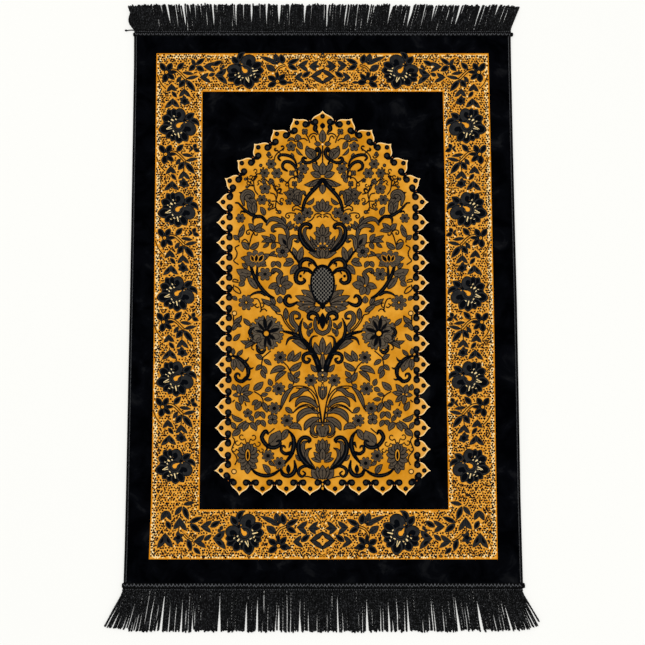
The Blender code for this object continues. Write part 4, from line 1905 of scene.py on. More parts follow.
    def _end(self, art: Artwork, far: bool) -> None:
        """Draws the middle ornament, flowers, rosettes and sprays of one end.

        Args:
            art: the drawing.
            far: True for the end with the niche's point.
        """
        across, down = (19.37, 22.07) if far else (18.447, 18.447)
        spray = Chart(246.0 - 745 / across, 72.2 - 640 / down, across, down) if far else Chart(205, 500, across)
        art.on(spray, 9)
        Card(END_SPRAY_CARD).draw(art)
        for card, heart in ((BORDER_FLOWER_CARD, 1355 + 845j), (ROSETTE_CARD, 729 + 616j)):
            left, top = spray.left + heart.real / across, spray.top + heart.imag / down
            art.on(Chart(left, top, across * 1.19, down * 1.19, turn_deg=-90), 11)
            Card(card).draw(art)
        middle = Chart(VIEW.middle_px - 693.6 / across, 76.4 - 745 / down, across, down)
        art.on(middle if far else Chart(285, 500, across), 9)
        Card(END_MIDDLE_CARD).draw(art)
        centre = 693.6 + 747j
        for ink, a, b, c, d in (
            (Ink.BLACK, 240, 171, 132, 104), (Ink.CHARCOAL, 220, 156, 122, 95), (Ink.BLACK, 136, 126, 60, 52),
            (Ink.GROUND, 118, 109, 46, 40),
        ):
            star = np.array((-a, -c - 1j * d, -1j * b, c - 1j * d, a, c + 1j * d, 1j * b, -c + 1j * d))
            art.patch(ink, centre + star, once=True)
        for way in (240, -240, 171j, -171j):
            art.patch(Ink.BLACK, ribbon(centre + np.array((way, way * 0.55)), np.array((7.0, 5.0)), False), once=True)
        for aside in (-19j, 19j):
            art.disc(Ink.BLACK, centre + aside, 14, 8, once=True)


# ---------------------------------------------------------------- what every piece needs


@dataclass(frozen=True)
class Trimmings:
    """The sizes that the velvet and its trimmings share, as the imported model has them."""

    rug_width: float = 0.700
    cloth_shown: float = 0.996
    cloth_thick: float = 0.0040
    clearance: float = 0.0003
    binding_reach: float = 0.0055
    binding_high: float = 0.0046
    tape_thick: float = 0.0007
    tape_round: float = 0.0009
    roll_high: float = 0.0060
    roll_wall: float = 0.0015
    pinch_fade: float = 0.0080
    edge_rows: tuple[tuple[float, float, float], ...] = (
        (-510, 0.0, 2.2), (-440, -0.8, 1.6), (-350, -1.05, 1.0), (-200, -1.0, 1.5), (0, -0.9, 1.9),
        (150, -0.45, 1.1), (300, 0.1, 0.65), (440, 0.7, 0.5), (510, 1.8, 0.8),
    )

    def edge_x(self, side: int, y: np.ndarray | float) -> np.ndarray:
        """Finds the rug's outer edge.

        Args:
            side: -1 on the left, 1 on the right.
            y: where along the rug.

        Returns:
            X of that edge at each y.
        """
        rows = np.array(self.edge_rows)
        out = np.interp(np.asarray(y) / MM, rows[:, 0], rows[:, 1 if side < 0 else 2])
        return side * (self.rug_width / 2 + out * MM)


TRIM = Trimmings()


@dataclass(frozen=True)
class RugEnd:
    """One end of the rug: its roll, its fringe and its loose thread. Lengths are in millimetres."""

    name: str
    way: int
    roll_deep: float
    left_past: float
    right_past: float
    strand_long: float
    thread_long: float
    seed: int
    fan: tuple[tuple[float, float], ...]

    @property
    def cloth_end(self) -> float:
        """The distance from the rug's middle to where the cloth ends in the roll."""
        return TRIM.cloth_shown / 2 + self.roll_deep * MM - TRIM.roll_wall - TRIM.clearance

    @property
    def roll_middle(self) -> float:
        """Y of the middle of the roll."""
        return self.way * (TRIM.cloth_shown / 2 + self.roll_deep * MM / 2)


NEAR_END = RugEnd(
    name="near", way=-1, roll_deep=9.6, left_past=2.8, right_past=3.4, strand_long=69.4, thread_long=0.0, seed=5,
    fan=(
        (-348.5, -28), (-345.4, -26.1), (-342.3, -25.4), (-339.2, -22.8), (-311.5, -11), (-290, -8.2), (-273, -4.5),
        (-240, -2.5), (0, 0.5), (110, 2.5), (215, 5), (255, 8.7), (300, 11.5), (316, 15.5), (335, 20), (343, 24),
        (348, 30),
    ),
)
FAR_END = RugEnd(
    name="far", way=1, roll_deep=7.1, left_past=1.8, right_past=4.6, strand_long=50.8, thread_long=17.0, seed=11,
    fan=(
        (-350, -16), (-330, -13), (-290, -12), (-250, -7), (-200, -2), (-100, 0), (0, 3), (60, 8), (130, 12),
        (200, 15), (300, 17), (335, 20), (350, 23),
    ),
)


def nothing_selected() -> None:
    """Deselects every object."""
    if bpy.context.object and bpy.context.object.mode != "OBJECT":
        bpy.ops.object.mode_set(mode="OBJECT")
    bpy.ops.object.select_all(action="DESELECT")


def only(piece: bpy.types.Object) -> None:
    """Selects one object alone and makes it the active one.

    Args:
        piece: the object.
    """
    nothing_selected()
    piece.select_set(True)
    bpy.context.view_layer.objects.active = piece


def place_in_mesh(piece: bpy.types.Object) -> None:
    """Puts an object's place, turn and size into its mesh."""
    only(piece)
    bpy.ops.object.transform_apply(location=True, rotation=True, scale=True)


def mesh_piece(name: str, verts: np.ndarray, faces: np.ndarray | list) -> bpy.types.Object:
    """Makes an object from points and faces.

    Args:
        name: its name.
        verts: rows of x, y and z.
        faces: rows of point numbers.

    Returns:
        The new object, in the scene.
    """
    mesh = bpy.data.meshes.new(name)
    mesh.from_pydata(np.asarray(verts).tolist(), [], [tuple(int(i) for i in face) for face in faces])
    made = bpy.data.objects.new(name, mesh)
    bpy.context.scene.collection.objects.link(made)
    return made


def dressed(
    piece: bpy.types.Object, finish: str, smooth: float | None = None,
) -> bpy.types.Object:
    """Gives a piece its finish and its body.

    Args:
        piece: the piece.
        finish: the finish's name.
        smooth: the angle below which its edges are shaded smooth, in degrees.

    Returns:
        The same piece.
    """
    piece.data.materials.clear()
    piece.data.materials.append(material_of(finish))
    if smooth:
        only(piece)
        bpy.ops.object.shade_smooth_by_angle(angle=math.radians(smooth))
    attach(piece, BODY)
    log.info("%s: %d points, %d faces", piece.name, len(piece.data.vertices), len(piece.data.polygons))
    return piece


def scaled(piece: bpy.types.Object, sizes: tuple[float, float, float]) -> None:
    """Puts a new primitive's place in its mesh and scales it.

    Args:
        piece: the primitive, round the origin.
        sizes: its scale along X, Y and Z.
    """
    place_in_mesh(piece)
    for vertex in piece.data.vertices:
        vertex.co = [at * size for at, size in zip(vertex.co, sizes)]


def lofted(name: str, rings: np.ndarray) -> bpy.types.Object:
    """Joins rings of points into one closed form, with a face across each end.

    Args:
        name: the piece's name.
        rings: for each ring, its points.

    Returns:
        The new piece, facing outwards.
    """
    rows, count = rings.shape[:2]
    i = np.arange(count)
    base = np.arange(rows - 1)[:, None] * count
    j = np.roll(i, -1)
    quads = np.stack([base + i, base + j, base + count + j, base + count + i], axis=-1).reshape(-1, 4)
    made = mesh_piece(name, rings.reshape(-1, 3), [*quads, i, base[-1] + count + i])
    only(made)
    bpy.ops.object.mode_set(mode="EDIT")
    bpy.ops.mesh.select_all(action="SELECT")
    bpy.ops.mesh.normals_make_consistent(inside=False)
    bpy.ops.object.mode_set(mode="OBJECT")
    return made


def copies(
    pattern: bpy.types.Object, places: np.ndarray, ways: np.ndarray, sizes: np.ndarray, name: str,
) -> bpy.types.Object:
    """Copies one small shape many times into one mesh.

    Args:
        pattern: the shape, modelled round the origin and pointing along X. It is removed.
        places: rows of x, y and z.
        ways: the heading of each copy, in radians about Z.
        sizes: the scale of each copy along X, Y and Z.
        name: the new piece's name.

    Returns:
        The new piece.
    """
    base = np.array([vertex.co[:] for vertex in pattern.data.vertices])
    faces = [np.array(face.vertices[:]) for face in pattern.data.polygons]
    cos, sin = np.cos(ways)[:, None], np.sin(ways)[:, None]
    sized = base[None] * sizes[:, None, :]
    verts = np.stack([
        sized[..., 0] * cos - sized[..., 1] * sin, sized[..., 0] * sin + sized[..., 1] * cos, sized[..., 2],
    ], axis=-1) + places[:, None, :]
    every = [face + k * len(base) for k in range(len(places)) for face in faces]
    bpy.data.objects.remove(pattern)
    return mesh_piece(name, verts.reshape(-1, 3), every)


# ---------------------------------------------------------------- the velvet and its artwork


@dataclass
class Velvet:
    """The rug's one sheet of black velvet, pinched thin where the trimmings wrap its edges."""

    columns: int = 40
    rows: int = 60
    artwork_sink_mm: float = 0.12

    def build(self) -> bpy.types.Object:
        """Makes the sheet.

        Returns:
            The velvet.
        """
        near, far = NEAR_END.cloth_end, FAR_END.cloth_end
        covered = TRIM.binding_reach - TRIM.tape_round
        low, high = TRIM.tape_thick + TRIM.clearance, TRIM.binding_high - TRIM.tape_thick - TRIM.clearance
        across = self._stops(TRIM.rug_width, covered, self.columns)
        along = self._stops(near + far, NEAR_END.roll_deep * MM, self.rows)
        y = -near + along * (near + far)
        left, right = (TRIM.edge_x(side, y) - side * (TRIM.tape_round + TRIM.clearance) for side in (-1, 1))
        x = left[:, None] + across[None, :] * (right - left)[:, None]
        held = np.maximum.reduce([
            self._pinch(np.minimum(x - left[:, None], right[:, None] - x), covered),
            np.broadcast_to(self._pinch(y + near, NEAR_END.roll_deep * MM)[:, None], x.shape),
            np.broadcast_to(self._pinch(far - y, FAR_END.roll_deep * MM)[:, None], x.shape),
        ])
        yy = np.broadcast_to(y[:, None], x.shape)
        top = np.stack([x, yy, TRIM.cloth_thick + held * (high - TRIM.cloth_thick)], axis=-1).reshape(-1, 3)
        under = np.stack([x, yy, held * low], axis=-1).reshape(-1, 3)
        nr, nc = x.shape
        grid = np.arange(nr * nc).reshape(nr, nc)
        upper = np.stack([grid[:-1, :-1], grid[:-1, 1:], grid[1:, 1:], grid[1:, :-1]], axis=-1).reshape(-1, 4)
        rim = np.concatenate([grid[0], grid[1:, -1], grid[-1, -2::-1], grid[-2:0:-1, 0]])
        after = np.roll(rim, -1)
        wall = np.stack([after, rim, rim + nr * nc, after + nr * nc], axis=-1)
        piece = mesh_piece("velvet", np.vstack([top, under]), np.vstack([upper, upper[:, ::-1] + nr * nc, wall]))
        dressed(piece, "velvet", 30)
        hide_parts("rug_cloth")
        return piece

    def _stops(self, full: float, pinched: float, count: int) -> np.ndarray:
        """Spaces the sheet's rows or columns, close together along its edges.

        Args:
            full: the sheet's size this way.
            pinched: how much of each edge is pinched.
            count: how many in the middle.

        Returns:
            Where each is, from 0 to 1.
        """
        fading = pinched + TRIM.pinch_fade * np.array((0.2, 0.4, 0.6, 0.8, 1.0))
        edge = np.concatenate([np.array((0, 0.5, 1.0)) * pinched, fading]) / full
        middle = np.linspace(edge[-1], 1 - edge[-1], count)[1:-1]
        return np.concatenate([edge, middle, 1 - edge[::-1]])

    def _pinch(self, depth: np.ndarray, covered: float) -> np.ndarray:
        """Finds how strongly the cloth is pinched, from 1 to 0, this deep in from its edge."""
        share = np.clip((depth - covered) / TRIM.pinch_fade, 0, 1)
        return 1 - share * share * (3 - 2 * share)

    def weave(self) -> list[bpy.types.Object]:
        """Makes the coloured artwork as thin raised pile on the velvet's face.

        Returns:
            One piece for each colour.
        """
        art = Artwork()
        Border().draw(art)
        Niche().draw(art)
        log.info("artwork: %d outlines", len(art.patches))
        inlay = Inlay(art.patches)
        made = []
        for name in dict.fromkeys(ink.piece for ink in Ink if ink.piece):
            inks = [ink for ink in Ink if ink.piece == name]
            piece = inlay.relief("pile_" + name, inks, TRIM.cloth_thick, self.artwork_sink_mm * MM)
            made.append(dressed(piece, name))
        return made


# ---------------------------------------------------------------- the sewn side bindings


@dataclass
class Binding:
    """One side's tape, folded round the cloth's edge over a cord and overcast with thread."""

    name: str
    side: int
    stations: int = 90
    stitch_every: float = 0.0024
    stitch_long: float = 0.0021
    stitch_thick: float = 0.00050
    stitch_in: float = 0.0046
    stitch_droop: float = 0.0007
    stitch_lean_deg: float = 34.0

    def build(self) -> list[bpy.types.Object]:
        """Makes the tape and its stitches.

        Returns:
            The two pieces.
        """
        reach, high, thick = TRIM.binding_reach, TRIM.binding_high, TRIM.tape_thick
        length = TRIM.cloth_shown / 2 - TRIM.clearance
        # Across is measured inwards from the rug's edge
        section = [
            (reach, 0.0), (0.0018, 0.0), (0.0007, 0.00025), (0.0001, 0.0011), (0.0, high * 0.5),
            (0.0002, high * 0.78), (0.0009, high * 0.94), (0.0018, high - 0.0003), (0.0026, high + 0.0001),
            (0.0037, high + 0.0003), (0.0048, high + 0.0001), (reach, high - 0.0002), (reach, high - thick),
            (0.0013, high - thick - 0.0001), (0.0013, thick), (reach, thick),
        ]
        y = np.linspace(-length, length, self.stations)
        edge = TRIM.edge_x(self.side, y)
        across, up = np.array(section).T
        rings = np.stack(np.broadcast_arrays(edge[:, None] - self.side * across, y[:, None], up), axis=-1)
        tape = dressed(lofted("tape_" + self.name, rings), "trim", 50)
        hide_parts("binding_" + self.name)
        return [tape, self._stitches(length)]

    def _stitches(self, length: float) -> bpy.types.Object:
        """Makes the overcast stitches. Their pale grey line along the tape is real thread, and partly also a painted
        sheen highlight on the cord's ridge.

        Args:
            length: half the tape's length.

        Returns:
            The stitches.
        """
        nothing_selected()
        bpy.ops.mesh.primitive_cylinder_add(
            vertices=6, radius=self.stitch_thick, depth=self.stitch_long, rotation=(0, math.pi / 2, 0),
        )
        stitch = bpy.context.object
        place_in_mesh(stitch)
        bpy.ops.object.mode_set(mode="EDIT")
        bpy.ops.mesh.select_all(action="SELECT")
        bpy.ops.mesh.subdivide(number_cuts=1)
        bpy.ops.object.mode_set(mode="OBJECT")
        for vertex in stitch.data.vertices:
            share = vertex.co.x / (self.stitch_long / 2)
            vertex.co.z -= self.stitch_droop * share * share
        y = np.arange(-length + 0.002, length - 0.002, self.stitch_every)
        x = TRIM.edge_x(self.side, y) - self.side * self.stitch_in
        places = np.column_stack([x, y, np.full(len(y), TRIM.binding_high + 0.0004)])
        chance = np.random.default_rng(31 + self.side)
        ways = (math.pi / 2 - self.side * math.radians(self.stitch_lean_deg)) + chance.uniform(-0.08, 0.08, len(y))
        made = copies(stitch, places, ways, np.ones((len(y), 3)), "stitches_" + self.name)
        # The stitches' pale grey is partly a painted sheen highlight along the cord's ridge.
        return dressed(made, "trim_grey", 40)


# ---------------------------------------------------------------- the headings


@dataclass
class Heading:
    """One end's padded roll: a fold round the cloth's end, braided over, with a drawn-in coil at each end."""

    end: RugEnd
    stations: int = 150
    round_end: float = 0.0042
    end_share: float = 0.55
    near_braid: tuple[float, float] = (0.0062, 0.00068)
    far_braid: tuple[float, float] = (0.0074, 0.00066)
    yarn_high: float = 0.00055
    yarn_droop: float = 0.0011
    yarn_lean_deg: float = 36.0
    coil_wide: float = 0.0042
    seed: int = 3

    def _ends_x(self) -> tuple[float, float]:
        """Finds where the roll starts and stops.

        Returns:
            X of its two ends.
        """
        y = self.end.roll_middle
        left = float(TRIM.edge_x(-1, y)) - self.end.left_past * MM
        return left, float(TRIM.edge_x(1, y)) + self.end.right_past * MM

    def build(self) -> list[bpy.types.Object]:
        """Makes the roll, its braid and the coils at its ends.

        Returns:
            The pieces.
        """
        roll = self._roll()
        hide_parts("heading_" + self.end.name)
        return [roll, self._braid(), self._coils()]

    def _roll(self) -> bpy.types.Object:
        """Makes the padded roll itself.

        Returns:
            The roll.
        """
        deep, high, way = self.end.roll_deep * MM, TRIM.roll_high, self.end.way
        outer, inner = deep / 2, -deep / 2
        section = (
            (inner, 0.0), (outer - 0.0010, 0.0), (outer - 0.0002, 0.0007), (outer, 0.0020), (outer - 0.0002, 0.0034),
            (outer - 0.12 * deep, 0.80 * high), (outer - 0.24 * deep, 0.93 * high), (outer - 0.40 * deep, high),
            (outer - 0.58 * deep, 0.985 * high), (outer - 0.74 * deep, 0.90 * high),
            (outer - 0.88 * deep, 0.76 * high), (inner, 0.66 * high), (inner, 0.60 * high),
        )
        left, right = self._ends_x()
        shares = np.array((0.0, 0.06, 0.18, 0.38, 0.65, 1.0))
        middle = np.linspace(left + self.round_end, right - self.round_end, self.stations)[1:-1]
        x = np.concatenate([left + shares * self.round_end, middle, right - shares[::-1] * self.round_end])
        rounding = np.sqrt(1 - (1 - shares) ** 2) * (1 - self.end_share) + self.end_share
        size = np.concatenate([rounding, np.ones(self.stations - 2), rounding[::-1]])
        chance = np.random.default_rng(self.seed)
        stops = np.arange(0, len(x) + 8, 4)
        swell = 1 + 0.02 * np.interp(np.arange(len(x)), stops, chance.uniform(-1, 1, len(stops)))
        across, up = np.array(section).T
        y = self.end.roll_middle + way * across * size[:, None]
        rings = np.stack(np.broadcast_arrays(x[:, None], y, up * np.minimum(size * swell, 1.0)[:, None]), axis=-1)
        return dressed(lofted("roll_" + self.end.name, rings), "trim", 50)

    def _braid(self) -> bpy.types.Object:
        """Makes the yarns that cross over the roll in a zigzag.

        Returns:
            The yarns.
        """
        every, thick = self.far_braid if self.end.way > 0 else self.near_braid
        nothing_selected()
        bpy.ops.mesh.primitive_uv_sphere_add(segments=6, ring_count=6, radius=1, rotation=(0, math.pi / 2, 0))
        yarn = bpy.context.object
        half = self.end.roll_deep * MM * 0.42
        scaled(yarn, (half, thick, self.yarn_high))
        for vertex in yarn.data.vertices:
            vertex.co.z -= self.yarn_droop * (vertex.co.x / half) ** 2
        left, right = self._ends_x()
        x = np.arange(left + 0.0055, right - 0.0055, every / 2)
        chance = np.random.default_rng(self.seed + 1)
        lean = np.where(np.arange(len(x)) % 2 == 0, 1, -1) * math.radians(self.yarn_lean_deg)
        ways = math.pi / 2 + lean + chance.uniform(-0.16, 0.16, len(x))
        middle = self.end.roll_middle - self.end.way * self.end.roll_deep * MM * 0.06
        y = middle + chance.uniform(-0.0005, 0.0005, len(x))
        places = np.column_stack([x, y, TRIM.roll_high - 0.0001 + chance.uniform(-0.0002, 0.0001, len(x))])
        made = copies(yarn, places, ways, chance.uniform(0.85, 1.1, (len(x), 3)), "roll_" + self.end.name + "_braid")
        return dressed(made, "trim_grey", 60)

    def _coils(self) -> bpy.types.Object:
        """Makes the turns of yarn that bind both ends of the roll.

        Returns:
            The turns.
        """
        nothing_selected()
        bpy.ops.mesh.primitive_torus_add(
            major_radius=1, minor_radius=0.22, major_segments=18, minor_segments=6, rotation=(0, math.pi / 2, 0),
        )
        turn = bpy.context.object
        scaled(turn, (self.coil_wide, self.end.roll_deep * MM / 2 * 0.86, TRIM.roll_high / 2 * 0.84))
        left, right = self._ends_x()
        inset = np.array((0.0012, 0.0030, 0.0048))
        x = np.concatenate([left + inset, right - inset])
        sizes = np.array([(1, size, size) for size in (0.76, 0.90, 0.97) * 2])
        places = np.column_stack([x, np.full(6, self.end.roll_middle), np.full(6, TRIM.roll_high / 2)])
        made = copies(turn, places, np.zeros(6), sizes, "roll_" + self.end.name + "_coils")
        return dressed(made, "trim", 60)


# ---------------------------------------------------------------- the fringes


@dataclass
class Fringe:
    """One end's fringe: twisted yarns in combed locks, tied into a chain-stitched header."""

    end: RugEnd
    strands: int = 158
    crowded: tuple[int, int] = (13, 12)
    header_deep: float = 0.0047
    header_wide: float = 0.7034
    band: tuple[float, float, float] = (0.7034, 0.0044, 0.0022)
    knot: tuple[float, float, float] = (0.0029, 0.00078, 0.00070)
    knot_rows: tuple[tuple[float, float], ...] = ((0.0044, 0.0029), (0.0076, 0.0027), (0.0108, 0.0024))
    knot_lean_deg: float = 27.0
    link: tuple[float, float, float] = (0.00105, 0.00078, 0.00065)
    link_every: float = 0.0041
    last_short: float = 0.010
    tip_wide: float = 0.0030
    least_slit: float = 0.0004
    yarn_radius: float = 0.00176
    sides: int = 6
    turns_every: float = 0.0108

    def build(self) -> list[bpy.types.Object]:
        """Makes the yarns, the header and the stitches on it.

        Returns:
            The pieces.
        """
        yarns = self._yarns()
        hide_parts("fringe_" + self.end.name)
        made = [yarns, self._header(), self._knots(), self._chain()]
        if self.end.thread_long:
            made.append(self._loose_thread())
        return made

    @property
    def inner(self) -> float:
        """The distance from the rug's middle to where the header starts."""
        return TRIM.cloth_shown / 2 + self.end.roll_deep * MM + TRIM.clearance

    def _tips(self, roots: np.ndarray) -> tuple[np.ndarray, np.ndarray]:
        """Finds where the strands' tips lie, lock by lock.

        Args:
            roots: X of the strands' roots.

        Returns:
            X of the tips, and how far out each strand reaches.
        """
        chance = np.random.default_rng(self.end.seed)
        fan_x, fan_angle = zip(*self.end.fan)
        angles = np.radians(np.interp(roots / MM, fan_x, fan_angle))
        longs = self.end.strand_long * MM + chance.uniform(-1.6, 1.0, len(roots)) * MM
        if self.end.way < 0:
            longs[-1] -= self.last_short
        pulls = np.zeros(len(roots))
        counts = [1, 2, 5, 5] + chance.integers(4, 12, len(roots)).tolist()
        first = 0
        for count in counts:
            lock = slice(first, first + count)
            if first < len(roots):
                pulls[lock] = (roots[lock].mean() + chance.uniform(-1.0, 1.0) * MM - roots[lock]) * 0.11
            first += count
        sideways = np.sin(angles) * longs + pulls
        reach = np.cos(angles) * longs
        tips = roots + sideways
        least = self.tip_wide / np.cos(angles) + self.least_slit
        for i in range(1, len(tips)):
            tips[i] = max(tips[i], tips[i - 1] + max(least[i], least[i - 1]))
        tips += (roots + sideways - tips).mean()
        return tips, reach

    def _yarns(self) -> bpy.types.Object:
        """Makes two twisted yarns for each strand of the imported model.

        Returns:
            The yarns.
        """
        first, last = self.crowded
        stops = np.array((0.0, first, self.strands - last, self.strands))
        roots = np.interp(np.arange(self.strands) + 0.5, stops, np.array((-0.35, -0.31, 0.31, 0.35)))
        pitch = 0.62 / (self.strands - first - last)
        tips, reach = self._tips(roots)
        chance = np.random.default_rng(self.end.seed + 100)
        steps = 34 if self.end.way < 0 else 28
        verts, faces, count = [], [], 0
        root_y = self.inner + self.header_deep - 0.0012
        for upper, aside in ((True, -0.25), (False, 0.27)):
            for k in range(self.strands):
                x0 = roots[k] + aside * pitch + chance.normal(0, 0.0003)
                x1 = tips[k] + aside * pitch * 0.8 + chance.normal(0, 0.0007 if 3 < k < self.strands - 4 else 0.0002)
                if k in (0, self.strands - 1):
                    x1 = tips[k] + aside * pitch * 0.3
                out = reach[k] + 0.0012 + chance.uniform(-0.0024, 0.0014)
                early = (6 - k) / 6 * 0.0075 if self.end.way > 0 and k < 6 else 0.0
                tube, quads = self._yarn(x0, x1, root_y, out, upper, early, steps, chance)
                verts.append(tube)
                faces.append(quads + count)
                count += len(tube)
        made = mesh_piece("yarns_" + self.end.name, np.vstack(verts), np.vstack(faces))
        return dressed(made, "fringe", 70)

    def _yarn(
        self, x0: float, x1: float, root_y: float, out: float, upper: bool, early: float, steps: int,
        chance: np.random.Generator,
    ) -> tuple[np.ndarray, np.ndarray]:
        """Makes one two-ply yarn from its root to its cut tip.

        Args:
            x0: X of its root.
            x1: X of its tip.
            root_y: how far out its root is.
            out: how far it reaches from there.
            upper: whether it lies over its neighbours.
            early: how far it swings out sideways near its root.
            steps: the number of its rings.
            chance: the random numbers.

        Returns:
            Its points and its faces.
        """
        share = np.linspace(0, 1, steps)
        lean = np.interp(share, (0.0, 0.15, 1.0), (0.0, 0.11, 1.0))
        wave = np.sin(share * math.pi * chance.uniform(1.2, 2.6) + chance.uniform(0, 6))
        x = x0 + (x1 - x0) * lean + wave * share * (1 - 0.6 * share) * chance.normal(0, 0.0008)
        x -= early * np.sin(math.pi * np.minimum(share * 1.4, 1.0))
        y = root_y + out * share
        radius = self.yarn_radius * chance.uniform(0.88, 1.08)
        height = radius * 1.02 + 0.0014 * (1 - 0.75 * share) * upper
        turn = 2 * math.pi * out * share / self.turns_every + chance.uniform(0, 6)
        around = np.arange(self.sides) * 2 * math.pi / self.sides
        ply = radius * (1 - 0.26 * np.sin(around[None, :] - turn[:, None]) ** 2)
        ply[-1] *= 0.72
        ply[-2] *= 1.10
        tube = np.stack([
            x[:, None] + ply * np.cos(around), self.end.way * (y[:, None] + 0 * ply),
            np.maximum(height[:, None] + ply * np.sin(around), 0.0001),
        ], axis=-1).reshape(-1, 3)
        i = np.arange(self.sides)
        j = (i + 1) % self.sides
        base = np.arange(steps - 1)[:, None] * self.sides
        quads = np.stack([base + i, base + self.sides + i, base + self.sides + j, base + j], axis=-1).reshape(-1, 4)
        last = (steps - 1) * self.sides
        cap = np.array([(last, last + 5, last + 4, last + 1), (last + 1, last + 4, last + 3, last + 2)])
        if self.end.way < 0:
            return tube, np.vstack([quads, cap[:, ::-1]])[:, ::-1]
        return tube, np.vstack([quads, cap[:, ::-1]])

    def _header(self) -> bpy.types.Object:
        """Makes the woven band that the yarns are tied into.

        Returns:
            The band.
        """
        nothing_selected()
        middle = (0, self.end.way * (self.inner + 0.0019), 0.0013)
        bpy.ops.mesh.primitive_cube_add(size=1, location=middle, scale=self.band)
        band = bpy.context.object
        band.name = "header_" + self.end.name
        place_in_mesh(band)
        bpy.ops.object.mode_set(mode="EDIT")
        bpy.ops.mesh.select_all(action="SELECT")
        bpy.ops.mesh.bevel(offset=0.0007, segments=2, affect="EDGES")
        bpy.ops.object.mode_set(mode="OBJECT")
        return dressed(band, "fringe", 50)

    def _knots(self) -> bpy.types.Object:
        """Makes the crossed loops that hold the yarns to the header.

        Returns:
            The loops.
        """
        nothing_selected()
        bpy.ops.mesh.primitive_uv_sphere_add(segments=6, ring_count=5, radius=1, rotation=(0, math.pi / 2, 0))
        loop = bpy.context.object
        scaled(loop, self.knot)
        chance = np.random.default_rng(self.end.seed + 7)
        pitch = self.header_wide / self.strands
        x = (np.arange(self.strands * 2) + 0.5) * pitch / 2 - self.header_wide / 2
        rows = []
        for row, (deep, up) in enumerate(self.knot_rows):
            lean = np.where((np.arange(len(x)) + row) % 2 == 0, 1, -1) * math.radians(self.knot_lean_deg)
            y = self.end.way * (self.inner + deep) + chance.normal(0, 0.0004, len(x))
            rows.append(np.column_stack([x, y, up + chance.normal(0, 0.0001, len(x)), lean]))
        every = np.vstack(rows)
        ways = math.pi / 2 + every[:, 3] + chance.normal(0, 0.1, len(every))
        sizes = chance.uniform(0.8, 1.12, (len(every), 3))
        made = copies(loop, every[:, :3], ways, sizes, "knots_" + self.end.name)
        return dressed(made, "fringe", 60)

    def _chain(self) -> bpy.types.Object:
        """Makes the chain of stitches along the header.

        Returns:
            The chain.
        """
        nothing_selected()
        bpy.ops.mesh.primitive_uv_sphere_add(segments=6, ring_count=5, radius=1, rotation=(0, math.pi / 2, 0))
        link = bpy.context.object
        scaled(link, self.link)
        x = np.arange(-self.header_wide / 2 + 0.002, self.header_wide / 2 - 0.001, self.link_every)
        chance = np.random.default_rng(self.end.seed + 9)
        y = self.end.way * (self.inner + 0.0020 + chance.normal(0, 0.00012, len(x)))
        places = np.column_stack([x, y, np.full(len(x), 0.0026)])
        ways, sizes = chance.normal(0, 0.10, len(x)), chance.uniform(0.85, 1.1, (len(x), 3))
        made = copies(link, places, ways, sizes, "chain_" + self.end.name)
        return dressed(made, "trim_grey", 60)

    def _loose_thread(self) -> bpy.types.Object:
        """Makes the sewing thread's knotted end, beside the header's left end.

        Returns:
            The thread.
        """
        nothing_selected()
        long = self.end.thread_long * MM
        bpy.ops.mesh.primitive_cylinder_add(vertices=8, radius=0.0011, depth=long, rotation=(0, math.pi / 2, 0))
        thread = bpy.context.object
        thread.name = "loose_thread_" + self.end.name
        place_in_mesh(thread)
        bpy.ops.object.mode_set(mode="EDIT")
        bpy.ops.mesh.select_all(action="SELECT")
        bpy.ops.mesh.subdivide(number_cuts=5)
        bpy.ops.object.mode_set(mode="OBJECT")
        left, y = -self.header_wide / 2, self.end.way * (self.inner + self.header_deep * 0.95)
        for vertex in thread.data.vertices:
            share = 0.5 - vertex.co.x / long
            vertex.co.z += 0.0012
            vertex.co.y += y + 0.0006 * math.sin(share * 4.2)
            vertex.co.x = left + 0.0006 - share * long
        bpy.ops.mesh.primitive_uv_sphere_add(
            segments=12, ring_count=8, radius=0.0019, location=(left - long * 0.9, y - 0.0003, 0.0016),
        )
        knot = bpy.context.object
        knot.scale = (1.25, 1, 0.95)
        thread.select_set(True)
        bpy.context.view_layer.objects.active = thread
        bpy.ops.object.join()
        place_in_mesh(thread)
        return dressed(thread, "trim", 60)


# ---------------------------------------------------------------- the rug and the studio


class PrayerRug:
    """The whole rug: velvet, artwork, bindings, headings and fringes."""

    def build(self) -> bpy.types.Object:
        """Returns:
            The velvet.
        """
        velvet = Velvet()
        cloth = velvet.build()
        sewn = velvet.weave()
        for name, side in (("left", -1), ("right", 1)):
            sewn += Binding(name, side).build()
        for end in (NEAR_END, FAR_END):
            sewn += Heading(end).build()
            sewn += Fringe(end).build()
        return cloth


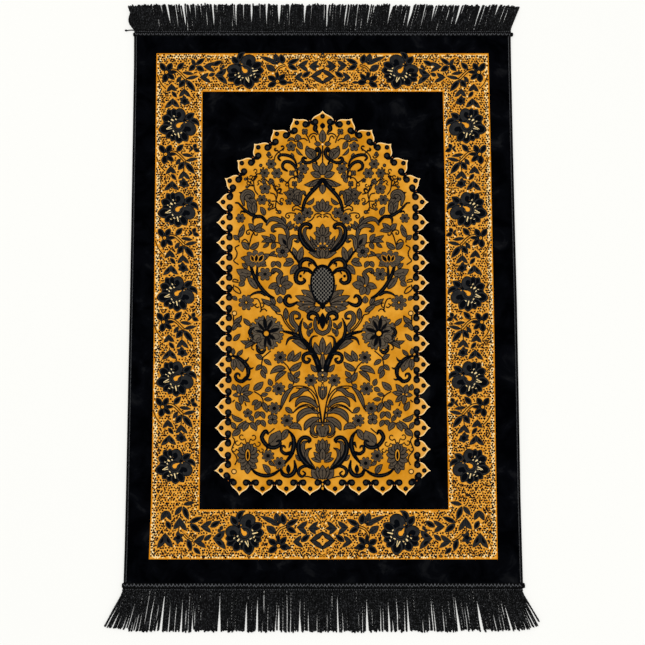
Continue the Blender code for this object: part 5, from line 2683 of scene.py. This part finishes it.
@dataclass(frozen=True)
class Studio:
    """A pale floor, soft lights and the camera, straight above the rug and tipped a little."""

    floor_wide: float = 9.0
    sky: tuple[float, float, float] = (1.0, 0.995, 0.985)
    sky_strength: float = 0.84

    def build(self) -> None:
        """Makes the floor, the lights and the camera."""
        self._floor()
        self._lights()
        self._camera()

    def _floor(self) -> None:
        """Makes the floor that the rug lies on."""
        nothing_selected()
        bpy.ops.mesh.primitive_grid_add(
            x_subdivisions=4, y_subdivisions=4, size=self.floor_wide, location=(0, 0, -0.0002),
        )
        floor = bpy.context.object
        floor.name = "studio_floor"
        place_in_mesh(floor)
        floor.data.materials.append(material_of("floor"))

    def _lights(self) -> None:
        """Makes the room's light and two soft boxes."""
        world = bpy.data.worlds.new("studio")
        bpy.context.scene.world = world
        world.use_nodes = True
        sky = world.node_tree.nodes["Background"]
        sky.inputs["Color"].default_value = (*self.sky, 1)
        sky.inputs["Strength"].default_value = self.sky_strength
        for name, place, size, watts in (
            ("soft_box_left", (-2.0, 1.6, 3.4), 2.0, 24.0), ("soft_box_right", (1.8, -1.2, 3.4), 2.0, 20.4),
        ):
            data = bpy.data.lights.new(name, "AREA")
            data.shape, data.size, data.energy = "SQUARE", size, watts
            lamp = bpy.data.objects.new(name, data)
            lamp.location = place
            lamp.rotation_euler = (-Vector(place)).to_track_quat("-Z", "Y").to_euler()
            bpy.context.scene.collection.objects.link(lamp)

    def _camera(self) -> None:
        """Makes the camera that the photograph was taken with."""
        data = bpy.data.cameras.new("camera")
        data.lens, data.sensor_width = VIEW.lens_mm, VIEW.sensor_mm
        camera = bpy.data.objects.new("camera", data)
        camera.location = (VIEW.x, VIEW.y, VIEW.above_face + TRIM.cloth_thick)
        camera.rotation_euler = (math.radians(VIEW.tilt_deg), 0, 0)
        bpy.context.scene.collection.objects.link(camera)
        bpy.context.scene.camera = camera
        bpy.context.scene.view_settings.view_transform = "Standard"


def main() -> None:
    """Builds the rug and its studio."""
    logging.basicConfig(level=logging.INFO, format="%(message)s")
    PrayerRug().build()
    Studio().build()


if __name__ == "__main__":
    main()
